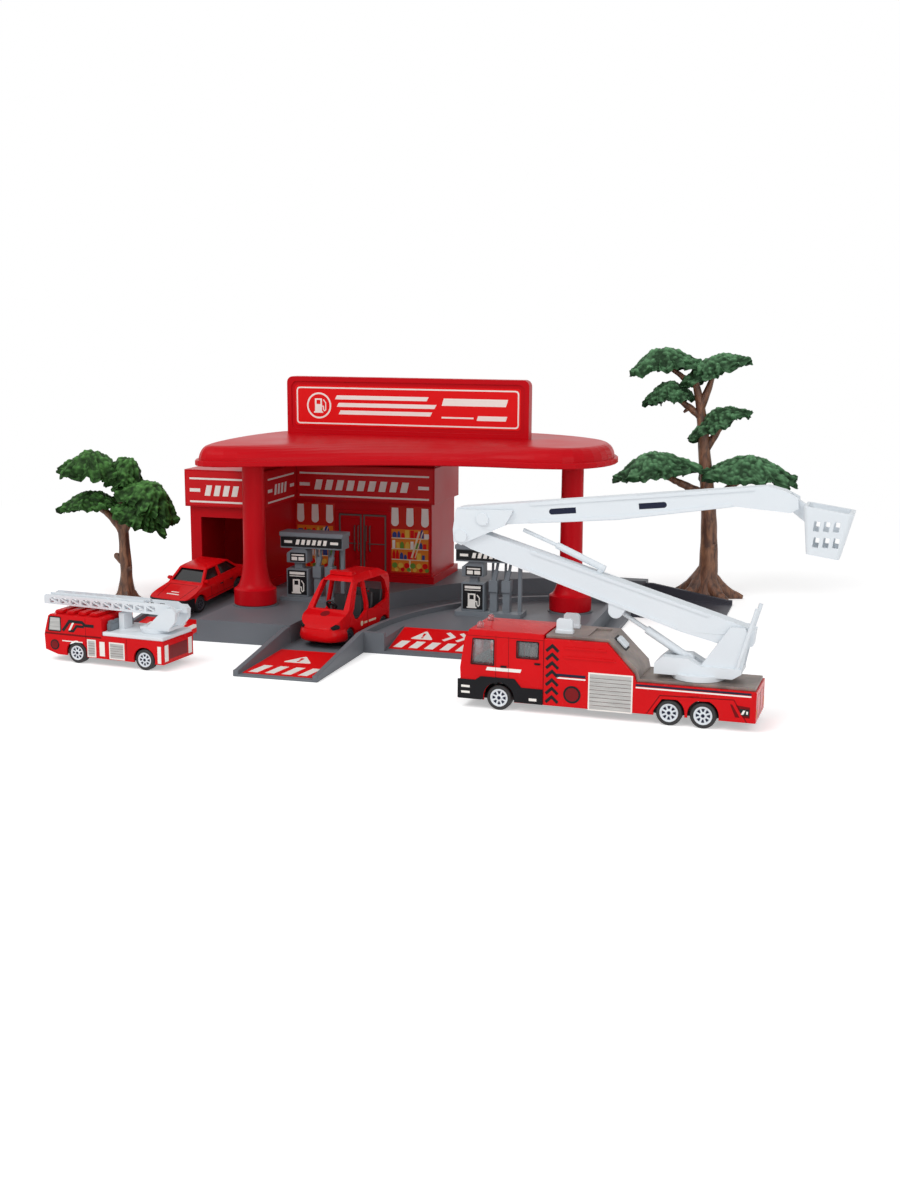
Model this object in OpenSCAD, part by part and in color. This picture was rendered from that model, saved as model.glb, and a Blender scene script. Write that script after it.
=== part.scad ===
// Toy gas station playset with two rescue trucks, a sedan, an open cart and two trees.
// Lengths are millimetres. The station front faces -Y, +X is to the right, the ground is Z = 0.

/* [Station base] */
// Raised deck above the ground
deck_h = 13; // [11.7:0.1:14.6]
// Lane floor above the ground
lane_h = 2.5; // [2:0.05:3.1]
// Island floor above the ground
island_h = 9; // [8.1:0.1:10.1]
// Island border above the ground
curb_h = 12; // [10.8:0.1:13.4]
// Island border thickness
curb_t = 3; // [2.7:0.1:3.4]
// Wall of the hollow base
base_wall = 2; // [1.6:0.05:2.5]
// Underside rib thickness
rib_t = 1.6; // [1.3:0.05:2]
// Underside rib spacing
rib_step = 40; // [30:1:50]
// Left wall of the lane
lane_x = -29; // [-32:0.5:-26]
// Clear width of the lane
lane_w = 42; // [38:1:46]
// Front face of the deck
base_front = -76; // [-79:0.5:-73]
// Rear face of the deck
base_back = 140; // [137:0.5:143]
// Left face of the garage deck
base_left = -140; // [-143:0.5:-137]
// Right face of the base
base_right = 145; // [142:0.5:148]
// Left face of the pump deck
deck_left = -88; // [-91:0.5:-86]
// Right face of the island
island_right = 136; // [133:0.5:139]
// Front of the low ledge beside the island
ledge_front = -20; // [-23:0.5:-17]
// Centre of the lane bend
bend_x = 120; // [117:0.5:123]
// Depth of the lane bend's centre
bend_y = -75; // [-78:0.5:-72]
// Island depth at the bend
bend_in = 145; // [133:1:157]
// Lane outer depth at the bend
bend_out = 205; // [188:1:222]
// Collar ring under each column
collar_t = 0.8; // [0.4:0.1:1.6]
// Collar ring beyond the column foot
collar_rim = 0.9; // [0.7:0.05:1.1]

/* [Ramps] */
// Lane ramp length
ramp_len = 74; // [68:1:80]
// Ramp front lip height
ramp_lip = 1.2; // [0.95:0.05:1.5]
// Ramp side wall thickness
cheek_t = 3; // [2.7:0.1:3.4]
// Ramp side wall height at the front
cheek_lo = 3.6; // [3.2:0.1:4]
// Ramp side wall height at the deck
cheek_hi = 12.4; // [11.2:0.1:13.9]
// Exit ramp length
exit_len = 58; // [53:1:63]
// Left edge of the island slope
slope_x = 28; // [25:0.5:31]
// Width of the island slope
slope_w = 70; // [64:1:76]
// Length of the island slope
slope_len = 38; // [34:1:42]
// Front height of the island slope
slope_lip = 1.6; // [1.3:0.05:2]
// Garage ramp side rail thickness
garage_rail = 2.5; // [2:0.05:3.1]
// Garage ramp side rail above its floor
garage_rail_h = 2.5; // [2:0.05:3.1]

/* [Building] */
// Garage left wall
bay_x0 = -137.5; // [-140.5:0.5:-134.5]
// Garage right wall
bay_x1 = -87; // [-90:0.5:-84]
// Garage front wall
bay_front = 22; // [19:0.5:25]
// Shop front wall
shop_front = 77; // [74:0.5:80]
// Shop right wall
shop_x1 = 10; // [7:0.5:13]
// Rear wall
wall_back = 131; // [128:0.5:134]
// Building wall
wall_t = 2; // [1.6:0.05:2.5]
// Top of the walls
eaves_z = 88; // [80:1:96]
// Roof plate
roof_t = 2; // [1.6:0.05:2.5]
// Fascia band height
fascia_h = 24; // [22:1:26]
// Fascia band thickness
fascia_t = 2.5; // [2:0.05:3.1]
// Clearance between fitted shells
fit_gap = 0.1; // [0.05:0.05:0.3]
// Plinth band height
plinth_h = 5; // [4.5:0.1:5.6]
// Plinth band projection
plinth_out = 2.2; // [1.75:0.05:2.75]
// Shop door centre
door_x = -38; // [-41:0.5:-35]
// Shop door width
door_w = 34; // [31:1:37]
// Shop door height
door_h = 40; // [36:1:44]
// Shop door thickness
door_t = 1.8; // [1.45:0.05:2.25]
// Door recess depth
door_in = 1; // [0.6:0.1:1.4]
// Garage opening centre
gate_x = -112.5; // [-115.5:0.5:-109.5]
// Garage opening width
gate_w = 35; // [32:1:38]
// Garage opening height
gate_h = 46; // [42:1:50]
// Garage bay depth
bay_depth = 48; // [44:1:52]

/* [Canopy and sign] */
// Canopy rim underside
canopy_z = 100; // [92:1:108]
// Canopy rim to crown
canopy_h = 12; // [11:0.5:16]
// Rim lip height
canopy_lip = 3.4; // [3.1:0.1:3.8]
// Rim lip projection
canopy_step = 2.2; // [1.75:0.05:2.75]
// Canopy shell wall
canopy_t = 2; // [1.6:0.05:2.5]
// Crown set back from the rim
crown_in = 7; // [6.3:0.1:7.8]
// Extra set back at the front middle
waist_in = 40; // [30:1:44]
// Soffit plate
soffit_t = 1.8; // [1.45:0.05:2.25]
// Column shaft radius
column_r = 6.7; // [6:0.1:7.5]
// Column foot radius
foot_r = 13; // [11.7:0.1:14.6]
// Column foot height
foot_h = 9.5; // [8.6:0.1:10.6]
// Column flare height
flare_h = 22; // [20:1:24]
// Left column
column_lx = -73; // [-74:0.5:-70]
// Left column's depth place
column_ly = -23.5; // [-26.5:0.5:-20.5]
// Right column
column_rx = 112.5; // [109.5:0.5:115.5]
// Right column's depth place
column_ry = 34; // [31:0.5:37]
// Sign centre
sign_x = -1.5; // [-4.5:0.5:1.5]
// Sign's depth place
sign_y = 60; // [57:0.5:63]
// Sign width
sign_w = 162; // [149:1:175]
// Sign height
sign_h = 37; // [34:1:40]
// Sign thickness
sign_t = 8; // [7.2:0.1:9]
// Sign rim width
sign_rim = 3; // [2.7:0.1:3.4]
// Sign face recess
sign_in = 0.8; // [0.5:0.1:1.5]
// Printed label thickness
label_t = 0.3; // [0.2:0.05:0.5]

/* [Pumps] */
// First pump
pump1_x = -43.5; // [-46.5:0.5:-40.5]
// First pump's depth place
pump1_y = 2; // [-1:0.5:5]
// Second pump
pump2_x = 68; // [65:0.5:71]
// Second pump's depth place
pump2_y = 9; // [6:0.5:12]
// Pump base plate width
pump_w = 42; // [38:1:46]
// Pump base plate depth
pump_d = 17; // [15.3:0.1:19]
// Pump base plate thickness
pump_base_t = 2.4; // [1.9:0.05:3]
// Underside of the pump header
pump_head_z = 33; // [30:1:36]
// Pump header height
pump_header_h = 10; // [9:0.1:11.2]

/* [Boom truck] */
// Boom truck centre
bt_x = 172; // [169:0.5:175]
// Boom truck's depth place
bt_y = -162; // [-165:0.5:-159]
// Boom truck heading
bt_yaw = -2.5; // [-30:0.5:30]
// Boom truck width
bt_w = 31; // [28:1:34]
// Boom truck wheel radius
bt_wheel_r = 6.2; // [5.6:0.1:6.9]
// Underside of the body sides
bt_sill = 4.6; // [4.1:0.1:5.2]
// Cab roof height
bt_roof = 39.4; // [36:1:43]
// Equipment body height
bt_top = 37.4; // [34:1:41]
// Rear bed height
bt_rear_deck = 19.4; // [17.5:0.1:21.7]
// Bed plate thickness
deck_t = 1.6; // [1.3:0.05:2]
// Front axle along the boom truck
bt_axle_f = -51.3; // [-54.3:0.5:-48.3]
// Middle axle along the boom truck
bt_axle_m = 32; // [29:0.5:35]
// Rear axle along the boom truck
bt_axle_r = 48; // [45:0.5:51]
// Turntable centre
tt_x = 43; // [40:0.5:46]
// Lower boom pivot
boom_px = 61; // [58:0.5:64]
// Height of the lower boom pivot
boom_pz = 42; // [39:0.5:45]
// Elbow pivot
elbow_x = -74; // [-77:0.5:-71]
// Height of the elbow pivot
elbow_z = 83.5; // [80.5:0.5:86.5]
// Bucket pivot
tip_x = 82.7; // [79.7:0.5:85.7]
// Height of the bucket pivot
tip_z = 105.8; // [102.8:0.5:108.8]
// Boom width
boom_w = 9; // [8.1:0.1:10.1]
// Lift strut foot
strut_bx = 38; // [35:0.5:41]
// Height of the lift strut foot
strut_bz = 30; // [27:0.5:33]
// Lift strut head
strut_tx = 3; // [0:0.5:6]
// Height of the lift strut head
strut_tz = 51; // [48:0.5:54]
// Lift strut head pin radius
lug_pin_r = 0.9; // [0.7:0.05:1.1]
// Play of the lift strut eye on its pin
lug_play = 0.9; // [0.6:0.05:1]

/* [Ladder truck] */
// Ladder truck centre
lt_x = -102.5; // [-105.5:0.5:-99.5]
// Ladder truck's depth place
lt_y = -135; // [-138:0.5:-132]
// Ladder truck heading
lt_yaw = -6; // [-30:0.5:30]
// Ladder truck width
lt_w = 30; // [27:1:33]
// Ladder truck wheel radius
lt_wheel_r = 5.8; // [5.2:0.1:6.5]
// Underside of the body sides
lt_sill = 4; // [3.6:0.1:4.5]
// Bed height
lt_deck_z = 16.8; // [15.1:0.1:18.8]
// Front axle along the ladder truck
lt_axle_f = -21.7; // [-24.7:0.5:-18.7]
// Rear axle along the ladder truck
lt_axle_r = 21.7; // [18.7:0.5:24.7]
// Ladder turntable centre
lt_tt_x = 21; // [18:0.5:23]
// Ladder pivot
lt_px = 33; // [30:0.5:36]
// Height of the ladder pivot
lt_pz = 30.5; // [28.5:0.5:33.5]
// Ladder length
ladder_len = 82; // [74:1:90]
// Half width of the ladder
ladder_half = 5.6; // [5:0.1:6.3]
// Ladder slope at rest, degrees
ladder_rise = 0; // [0:0.5:8]

/* [Sedan] */
// Sedan centre on the garage ramp
sd_x = -117.5; // [-119:0.5:-116]
// Sedan's depth place
sd_y = -6; // [-9:0.5:-3]
// Sedan heading
sd_yaw = 80; // [80:1:100]
// Sedan width
sd_w = 29; // [26:1:32]
// Sedan wheel radius
sd_wheel_r = 5.2; // [4.7:0.1:5.8]
// Half wheelbase
sd_axle = 21; // [19:1:23]

/* [Open cart] */
// Cart centre in the lane
ct_x = -3.5; // [-6.5:0.5:-0.5]
// Cart's depth place
ct_y = -50; // [-53:0.5:-47]
// Cart heading
ct_yaw = 80; // [70:1:90]
// Cart width
ct_w = 27; // [24:1:30]
// Cart wheel radius
ct_wheel_r = 5; // [4.5:0.1:5.6]
// Half wheelbase
ct_axle = 20; // [18:1:22]

/* [Wheels] */
// Axle radius
axle_r = 1; // [0.8:0.05:1.3]
// Axle running clearance
axle_gap = 0.05; // [0.02:0.01:0.1]
// Boom pin radius
pin_r = 1.5; // [1.2:0.05:1.7]
// Wheel clearance above the station floors
rest_gap = 0.05; // [0.02:0.01:0.2]

/* [Trees] */
// Left tree
tree1_x = -186; // [-200:1:-176]
// Left tree's depth place
tree1_y = 22; // [0:1:60]
// Height of the left tree
tree1_h = 102; // [94:1:110]
// Right tree
tree2_x = 182; // [176:1:196]
// Right tree's depth place
tree2_y = 150; // [146:1:180]
// Height of the right tree
tree2_h = 170; // [158:1:182]

/* [Hidden] */
$fn = 32;

eps = 0.01;
far = 600;
roof_z = eaves_z + roof_t;
fascia_z = roof_z - fascia_h;
crown_z = canopy_z + canopy_h;
soffit_z = canopy_z + 1;
lane_x1 = lane_x + lane_w;
ramp_front = base_front - ramp_len;
garage_sill = bay_front - plinth_out - 0.3;
garage_run = garage_sill - base_front;
garage_slope = atan((deck_h - ramp_lip) / garage_run);
exit_y0 = bend_y + bend_in;
exit_y1 = bend_y + bend_out;

// Side profile in X and Z, centred on Y, with the given width.
module side(w) { rotate([90, 0, 0]) linear_extrude(w, center = true) children(); }
// Profile in Y and Z, from the given X on, with the given width.
module along_x(x, w) { translate([x, 0, 0]) rotate([90, 0, 90]) linear_extrude(w) children(); }
module rbox(size, r) {
  linear_extrude(size[2]) offset(r) offset(-r) square([size[0], size[1]], center = true);
}
module box(lo, hi) { translate(lo) cube(hi - lo); }
module bar(a, b, r) {
  d = b - a;
  translate(a) rotate([0, acos(d[2] / norm(d)), atan2(d[1], d[0])]) cylinder(r = r, h = norm(d),
    $fn = 12);
}

// Base

module bend_zone(rx, ry) {
  intersection() {
    translate([bend_x, bend_y]) scale([rx, ry]) circle(1, $fn = 112);
    translate([bend_x - far, bend_y]) square([far, far]);
  }
  translate([bend_x - rx, base_front - 1]) square([far, bend_y - base_front + 1 + eps]);
  translate([bend_x - eps, base_front - 1]) square([far, bend_y + ry - base_front + 1]);
}
module footprint() {
  polygon([[base_left, base_back], [base_left, garage_sill], [deck_left, garage_sill],
    [deck_left, base_front], [island_right, base_front], [island_right, ledge_front],
    [base_right, ledge_front], [base_right, base_back]]);
}
module deck_2d() { difference() { footprint(); bend_zone(bend_x - lane_x, bend_out); } }
module island_2d() {
  intersection() {
    footprint();
    bend_zone(bend_x - lane_x1, bend_in);
    translate([-far, base_front]) square([far + island_right, far]);
  }
}
module ribs_2d() {
  for (x = [base_left + rib_step : rib_step : base_right]) translate([x, -far]) square([rib_t, 2 * far]);
  for (y = [base_front + rib_step : rib_step : base_back]) translate([-far, y]) square([2 * far, rib_t]);
}
module slope_cut() {
  along_x(slope_x, slope_w)
    polygon([[base_front - 1, slope_lip], [base_front + 2, slope_lip], [base_front + slope_len, island_h],
      [base_front + slope_len, curb_h + 1], [base_front - 1, curb_h + 1]]);
}
module garage_profile(lift, down) {
  polygon([[base_front, down], [base_front, ramp_lip + lift], [garage_sill + eps, deck_h + lift],
    [garage_sill + eps, down]]);
}
module base_deck() color("#6e7278") {
  difference() {
    union() {
      linear_extrude(lane_h) footprint();
      linear_extrude(deck_h) deck_2d();
      linear_extrude(island_h) island_2d();
      linear_extrude(curb_h) difference() { island_2d(); offset(-curb_t) island_2d(); }
      along_x(base_left, deck_left - base_left + eps) garage_profile(0, 0);
      along_x(base_left, garage_rail) garage_profile(garage_rail_h, 0);
      along_x(deck_left - garage_rail, garage_rail) garage_profile(garage_rail_h, 0);
      translate([column_lx, column_ly, deck_h - eps]) cylinder(r = foot_r + collar_rim,
        h = collar_t + eps);
      translate([column_rx, column_ry, island_h - eps]) cylinder(r = foot_r + collar_rim,
        h = collar_t + eps);
    }
    slope_cut();
    translate([0, 0, -1]) linear_extrude(1 + deck_h - base_wall)
      difference() { offset(-base_wall) deck_2d(); ribs_2d(); }
    translate([0, 0, -1]) linear_extrude(1 + island_h - base_wall) difference() {
      offset(-curb_t) island_2d();
      ribs_2d();
      translate([slope_x - base_wall, base_front - 1]) square([slope_w + 2 * base_wall,
        slope_len + base_wall]);
    }
    for (k = [0 : 1]) along_x(base_left + base_wall + k * (deck_left - base_left) / 2,
      (deck_left - base_left) / 2 - 2 * base_wall)
      polygon([[base_front + 14, -1], [base_front + 14, 0.6], [garage_sill - 2, deck_h - 2.6],
        [garage_sill - 2, -1]]);
  }
}

// Ramps

module ramp_cheek(len) {
  polygon([[-len, 0], [-len, cheek_lo], [-len + 3, cheek_lo], [-5, cheek_hi], [0, cheek_hi], [0, 0]]);
}
module ramp_shape(len, w) {
  along_x(-cheek_t, w + 2 * cheek_t)
    polygon([[-len, 0], [-len, ramp_lip], [0, lane_h], [0, 0]]);
  along_x(-cheek_t, cheek_t) ramp_cheek(len);
  along_x(w, cheek_t) ramp_cheek(len);
}
module lane_ramp() color("#74787e") translate([lane_x, base_front, 0]) ramp_shape(ramp_len, lane_w);
module exit_ramp() color("#4a4a52")
  translate([base_right, exit_y0 + cheek_t, 0]) rotate([0, 0, 90])
    ramp_shape(exit_len, exit_y1 - exit_y0 - 2 * cheek_t);

// Building

module plan_2d() {
  translate([bay_x0, bay_front]) square([bay_x1 - bay_x0, wall_back - bay_front]);
  translate([bay_x1 - eps, shop_front]) square([shop_x1 - bay_x1 + eps, wall_back - shop_front]);
}
module building_walls() color("#c80f1a") difference() {
  union() {
    translate([0, 0, deck_h]) linear_extrude(eaves_z - deck_h)
      difference() { plan_2d(); offset(-wall_t) plan_2d(); }
    translate([0, 0, deck_h]) linear_extrude(plinth_h)
      difference() { offset(delta = plinth_out) plan_2d(); offset(-wall_t / 2) plan_2d(); }
    box([bay_x0 + eps, bay_front + bay_depth, deck_h], [bay_x1 - eps, bay_front + bay_depth + wall_t,
      eaves_z]);
  }
  box([gate_x - gate_w / 2, bay_front - plinth_out - 1, deck_h - 1],
    [gate_x + gate_w / 2, bay_front + wall_t + 1, deck_h + gate_h]);
  box([door_x - door_w / 2, shop_front - 1, deck_h + plinth_h],
    [door_x + door_w / 2, shop_front + door_in, deck_h + plinth_h + door_h]);
}
module fascia_roof() color("#d0121c") {
  translate([0, 0, fascia_z]) linear_extrude(fascia_h)
    difference() { offset(delta = fascia_t) plan_2d(); offset(delta = fit_gap) plan_2d(); }
  translate([0, 0, eaves_z]) linear_extrude(roof_t) offset(delta = fascia_t - eps) plan_2d();
  for (x = [bay_x1 + 20, (bay_x1 + shop_x1) / 2, shop_x1 - 14])
    box([x, shop_front + 6, roof_z - eps], [x + 14, shop_front + 22, soffit_z]);
}
module shop_door() color("#c2101a") translate([door_x, shop_front + door_in, deck_h + plinth_h]) {
  w = door_w - 0.4;
  h = door_h - 0.4;
  difference() {
    box([-w / 2, -door_t, 0.2], [w / 2, 0, h]);
    for (s = [-1, 1]) box([s * w / 4 - w / 4 + 2, -door_t - 1, 2.4], [s * w / 4 + w / 4 - 1.6,
      -door_t + 0.5, h - 3]);
  }
  for (s = [-1, 1]) {
    for (z = [9.6, 20.4]) box([s * 3.4 - 0.5, -door_t - 1, z], [s * 3.4 + 0.5, -door_t + eps + 0.5,
      z + 1]);
    box([s * 3.4 - 0.5, -door_t - 1.9, 9], [s * 3.4 + 0.5, -door_t - 1 + eps, 22]);
  }
}

// Columns

module column(z0) {
  h = soffit_z - z0;
  rotate_extrude($fn = 40) polygon(concat([[0, 0], [foot_r - 0.6, 0], [foot_r, 0.6], [foot_r, foot_h]],
    [for (i = [1 : 6]) let (a = 15 * i) [foot_r - 0.5 - (foot_r - column_r - 0.8) * sin(a),
      foot_h + 0.4 + flare_h * (1 - cos(a))]],
    [[column_r, h], [0, h]]));
}
module column_left() color("#cc0f1a") translate([column_lx, column_ly, deck_h + collar_t])
  column(deck_h + collar_t);
module column_right() color("#cc0f1a") translate([column_rx, column_ry, island_h + collar_t])
  column(island_h + collar_t);

// Canopy: a closed kidney outline, lofted up to a smaller crown.

rim_knots = [[-103, -40], [-92, -53], [-72, -49], [-38, -31], [-2, -14], [34, -4], [66, -1], [96, -2],
  [120, 4], [134, 24], [137, 52], [128, 80], [105, 104], [70, 121], [20, 128], [-30, 125], [-70, 111],
  [-95, 84], [-106, 46], [-108, 0]];
// Softening of the rim's edges, and a point on the crown that sees all of the crown's edge
rim_soft = 0.5;
crown_mid = [4, 90];
function knot(i) = rim_knots[(i + len(rim_knots)) % len(rim_knots)];
function spline(i, t) = 0.5 * (2 * knot(i) + (knot(i + 1) - knot(i - 1)) * t
  + (2 * knot(i - 1) - 5 * knot(i) + 4 * knot(i + 1) - knot(i + 2)) * t * t
  + (3 * knot(i) - knot(i - 1) - 3 * knot(i + 1) + knot(i + 2)) * t * t * t);
function rim_line() = [for (i = [0 : len(rim_knots) - 1], k = [0 : 2]) spline(i, k / 3)];
// Outline moved inward by d, plus up to w more at the front middle.
function inward(p, d, w) = let (n = len(p)) [for (i = [0 : n - 1])
  let (t = p[(i + 1) % n] - p[(i + n - 1) % n], v = [-t[1], t[0]] / norm(t),
    m = v[1] > 0.5 ? exp(-pow((p[i][0] - 14) / 52, 2)) : 0) p[i] + v * d + [0, w * m]];
function ring(p, z) = [for (q = p) [q[0], q[1], z]];
// Skin over closed rings, closed at each end by a fan round a point that sees all of the end ring.
module loft(rings, mid) {
  n = len(rings[0]);
  m = len(rings);
  ends = [for (r = [rings[0], rings[m - 1]]) [mid[0], mid[1], r[0][2]]];
  polyhedron(points = concat([for (r = rings, q = r) q], ends), faces = concat(
    [for (i = [0 : n - 1]) [m * n, i, (i + 1) % n]],
    [for (i = [0 : n - 1]) [m * n + 1, (m - 1) * n + (i + 1) % n, (m - 1) * n + i]],
    [for (k = [0 : m - 2], i = [0 : n - 1]) let (j = (i + 1) % n)
      [k * n + i, (k + 1) * n + i, (k + 1) * n + j]],
    [for (k = [0 : m - 2], i = [0 : n - 1]) let (j = (i + 1) % n)
      [k * n + i, (k + 1) * n + j, k * n + j]]), convexity = 6);
}
function shoulder(d0, z0, h, d1, w) = [for (i = [0 : 7]) let (a = 90 * i / 7)
  ring(inward(rim_line(), d0 + (d1 - d0) * (1 - cos(a)), w * (1 - cos(a))), z0 + h * sin(a))];
function backwards(v) = [for (i = [len(v) - 1 : -1 : 0]) v[i]];
function canopy_inside() = concat([ring(inward(rim_line(), canopy_t, 0), canopy_z),
  ring(inward(rim_line(), canopy_t, 0), soffit_z + soffit_t)],
  shoulder(canopy_step + canopy_t, soffit_z + soffit_t, canopy_h - 1 - soffit_t - canopy_t,
    canopy_step + canopy_t + crown_in, waist_in + 6));
function canopy_outside() = concat([ring(inward(rim_line(), rim_soft, 0), canopy_z),
  ring(rim_line(), canopy_z + rim_soft), ring(rim_line(), canopy_z + canopy_lip - rim_soft),
  ring(inward(rim_line(), rim_soft, 0), canopy_z + canopy_lip)],
  shoulder(canopy_step, canopy_z + canopy_lip, canopy_h - canopy_lip, canopy_step + crown_in, waist_in));
module canopy_shell() color("#cf101b")
  loft(concat(backwards(canopy_inside()), canopy_outside()), crown_mid);
module canopy_soffit() color("#b90e18") translate([0, 0, soffit_z])
  linear_extrude(soffit_t - 0.2) polygon(inward(rim_line(), canopy_t + fit_gap, 0));

// Sign

module sign_face(grow) { offset(4) offset(-4) square([sign_w + 2 * grow, sign_h + 2 * grow],
  center = true); }
module sign_board() color("#cf101b") translate([sign_x, sign_y, crown_z + sign_h / 2])
  rotate([90, 0, 0]) {
  difference() {
    translate([0, 0, -sign_t / 2]) linear_extrude(sign_t) intersection() {
      offset(4) offset(-4) translate([0, -5]) square([sign_w, sign_h + 10], center = true);
      square([sign_w, sign_h], center = true);
    }
    translate([0, 0, sign_t / 2 - sign_in]) linear_extrude(2) sign_face(-sign_rim);
  }
}
module sign_label() color("#f00a0a")
  translate([sign_x, sign_y - sign_t / 2 + sign_in, crown_z + sign_h / 2]) rotate([90, 0, 0])
    linear_extrude(label_t) offset(2) offset(-2) square([sign_w - 2 * sign_rim - 5,
      sign_h - 2 * sign_rim - 5], center = true);

// Printed labels

module fascia_labels() color("#d0121c") {
  m = 1;
  box([bay_x0 - fascia_t + m, bay_front - fascia_t - label_t, fascia_z + m],
    [bay_x1 + fascia_t - m, bay_front - fascia_t, roof_z - m]);
  box([bay_x1 + fascia_t, bay_front - fascia_t + m, fascia_z + m],
    [bay_x1 + fascia_t + label_t, shop_front - fascia_t - m, roof_z - m]);
  box([bay_x1 + fascia_t + m, shop_front - fascia_t - label_t, fascia_z + m],
    [shop_x1 + fascia_t - m, shop_front - fascia_t, roof_z - m]);
}
module window_labels() color("#e04030") {
  z0 = deck_h + plinth_h + 1;
  for (x = [[bay_x1 + 1, door_x - door_w / 2 - 3], [door_x + door_w / 2 + 2, shop_x1 - 1]])
    box([x[0], shop_front - label_t, z0], [x[1], shop_front, fascia_z - 2]);
}
module ramp_labels() color("#f00a0a") {
  s = (lane_h - ramp_lip) / ramp_len;
  along_x(lane_x + 1, lane_w - 2) polygon([for (p = [[4, 0], [4, label_t], [58, label_t], [58, 0]])
    [ramp_front + p[0], ramp_lip + s * p[0] + p[1]]]);
  t = (island_h - slope_lip) / (slope_len - 2);
  along_x(slope_x + 1, slope_w - 2) polygon([for (p = [[5, 0], [5, label_t], [slope_len - 3, label_t],
    [slope_len - 3, 0]])
    [base_front + 2 + p[0] - 2, slope_lip + t * (p[0] - 2) + p[1]]]);
  g = (deck_h - ramp_lip) / garage_run;
  along_x(base_left + garage_rail + 1, deck_left - base_left - 2 * garage_rail - 2)
    polygon([for (p = [[6, 0], [6, label_t], [32, label_t], [32, 0]])
      [base_front + p[0], ramp_lip + g * p[0] + p[1]]]);
}

// Pumps, each around its own base centre

module at_pump(k) {
  translate(k == 1 ? [pump1_x, pump1_y, deck_h] : [pump2_x, pump2_y, island_h]) children();
}
module pump_frame() {
  rbox([pump_w, pump_d, pump_base_t], 1.5);
  box([pump_w / 2 - 3.6, -1.2, pump_base_t - eps], [pump_w / 2 - 1.4, 1.2, pump_head_z + eps]);
  box([-pump_w / 2 + 0.6, -6, pump_head_z], [pump_w / 2 - 0.6, 6, pump_head_z + pump_header_h - 2.4]);
  translate([0, 0, pump_head_z + pump_header_h - 2.4 - eps]) rbox([pump_w, 14, 2.4], 0.8);
}
module pump_cabinet() {
  box([-17, -5.4, pump_base_t], [-2.6, 5.4, 20]);
  box([-12.6, -3, 20 - eps], [-7.4, 3, 24]);
  rotate([90, 0, 0]) linear_extrude(9.6, center = true)
    polygon([[-17, 23.6], [-3.4, 23.6], [-3.4, 31], [-5, pump_head_z], [-12.4, pump_head_z],
      [-17, 29.4]]);
}
module pump_nozzles() {
  for (x = [2.4, 10.4]) {
    box([x - 2.2, -2.6, pump_base_t], [x + 2.2, 2.6, 17]);
    box([x - 2.7, -3.6, 14.6], [x + 2.7, 3, 21.6]);
    translate([x, -1, 21.4]) rotate([0, 14, 0]) box([-1.3, -1.3, -0.6], [1.3, 1.3, 6.4]);
    bar([x + 1.5, -1, 27], [x + 2.3, -0.2, pump_head_z - 0.3], 0.9);
    bar([x - 1.6, 1.4, 16], [x - 1.2, 1.2, pump_head_z - 0.1], 0.8);
  }
}
module pump_frame_1() color("#7c8288") at_pump(1) pump_frame();
module pump_cabinet_1() color("#7c8288") at_pump(1) pump_cabinet();
module pump_nozzles_1() color("#6d7379") at_pump(1) pump_nozzles();
module pump_frame_2() color("#7c8288") at_pump(2) pump_frame();
module pump_cabinet_2() color("#7c8288") at_pump(2) pump_cabinet();
module pump_nozzles_2() color("#6d7379") at_pump(2) pump_nozzles();
module pump_labels() color("#1c1c20") for (k = [1, 2]) at_pump(k) {
  box([-16, -5.4 - label_t, pump_base_t + 1.4], [-3.6, -5.4, 19]);
  box([-14.5, -4.8 - label_t, 24.4], [-4.4, -4.8, 30]);
  box([-pump_w / 2 + 1, -6 - label_t, pump_head_z + 1], [pump_w / 2 - 1, -6,
    pump_head_z + pump_header_h - 3]);
}

// Wheels: one axle with two wheels, centred on its own axis along Y.

module wheel_pair(r, track, w, hub) {
  rotate([90, 0, 0]) cylinder(r = axle_r, h = track - 2, center = true, $fn = 24);
  for (s = [0, 1]) mirror([0, s, 0]) translate([0, track / 2, 0]) rotate([90, 0, 0])
    rotate_extrude($fn = 32) polygon([[0, w], [0, 1.2], [hub * r, 0.8], [hub * r, 0], [r - 0.5, 0],
      [r, 0.5], [r, w - 0.4], [r - 0.4, w]]);
}
module axle_bore(x, z) { translate([x, 0, z]) rotate([90, 0, 0]) cylinder(r = axle_r + axle_gap,
  h = 80, center = true, $fn = 24); }
module arch(x, z, r) { translate([x, 0, z]) rotate([90, 0, 0]) cylinder(r = r, h = 80, center = true,
  $fn = 28); }

// Boom truck, heading along its own -X

module bt() { translate([bt_x, bt_y, 0]) rotate([0, 0, bt_yaw]) children(); }
bt_half = bt_w / 2;
bt_track = bt_w - 0.6;
bt_plate_half = bt_half - 6.4;
bt_nose = bt_sill + 9.4;
module bt_plate_slot() { box([-33, -bt_plate_half - fit_gap, 0],
  [-26, bt_plate_half + fit_gap, bt_sill + 2 + fit_gap]); }
module bt_chassis() color("#242427") bt() difference() {
  union() {
    box([-70, -bt_plate_half, bt_sill - 0.6], [70.6, bt_plate_half, bt_sill + 2]);
    for (p = [[-40, bt_roof - 2.8], [-12, bt_top - 1.6], [62, bt_rear_deck - 1.6]])
      translate([p[0], 0, bt_sill]) cylinder(r = 2.4, h = p[1] - bt_sill, $fn = 20);
    for (x = [bt_axle_f, bt_axle_m, bt_axle_r])
      box([x - 4, -bt_half + 6.2, 3.4], [x + 4, bt_half - 6.2, bt_wheel_r + 2.6]);
    box([-72, -bt_half, bt_sill], [-60.4, bt_half, bt_nose]);
  }
  for (x = [bt_axle_f, bt_axle_m, bt_axle_r]) axle_bore(x, bt_wheel_r);
  box([-80, -bt_half + 5, bt_sill + 3], [-71.2, bt_half - 5, bt_nose - 3]);
}
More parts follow.
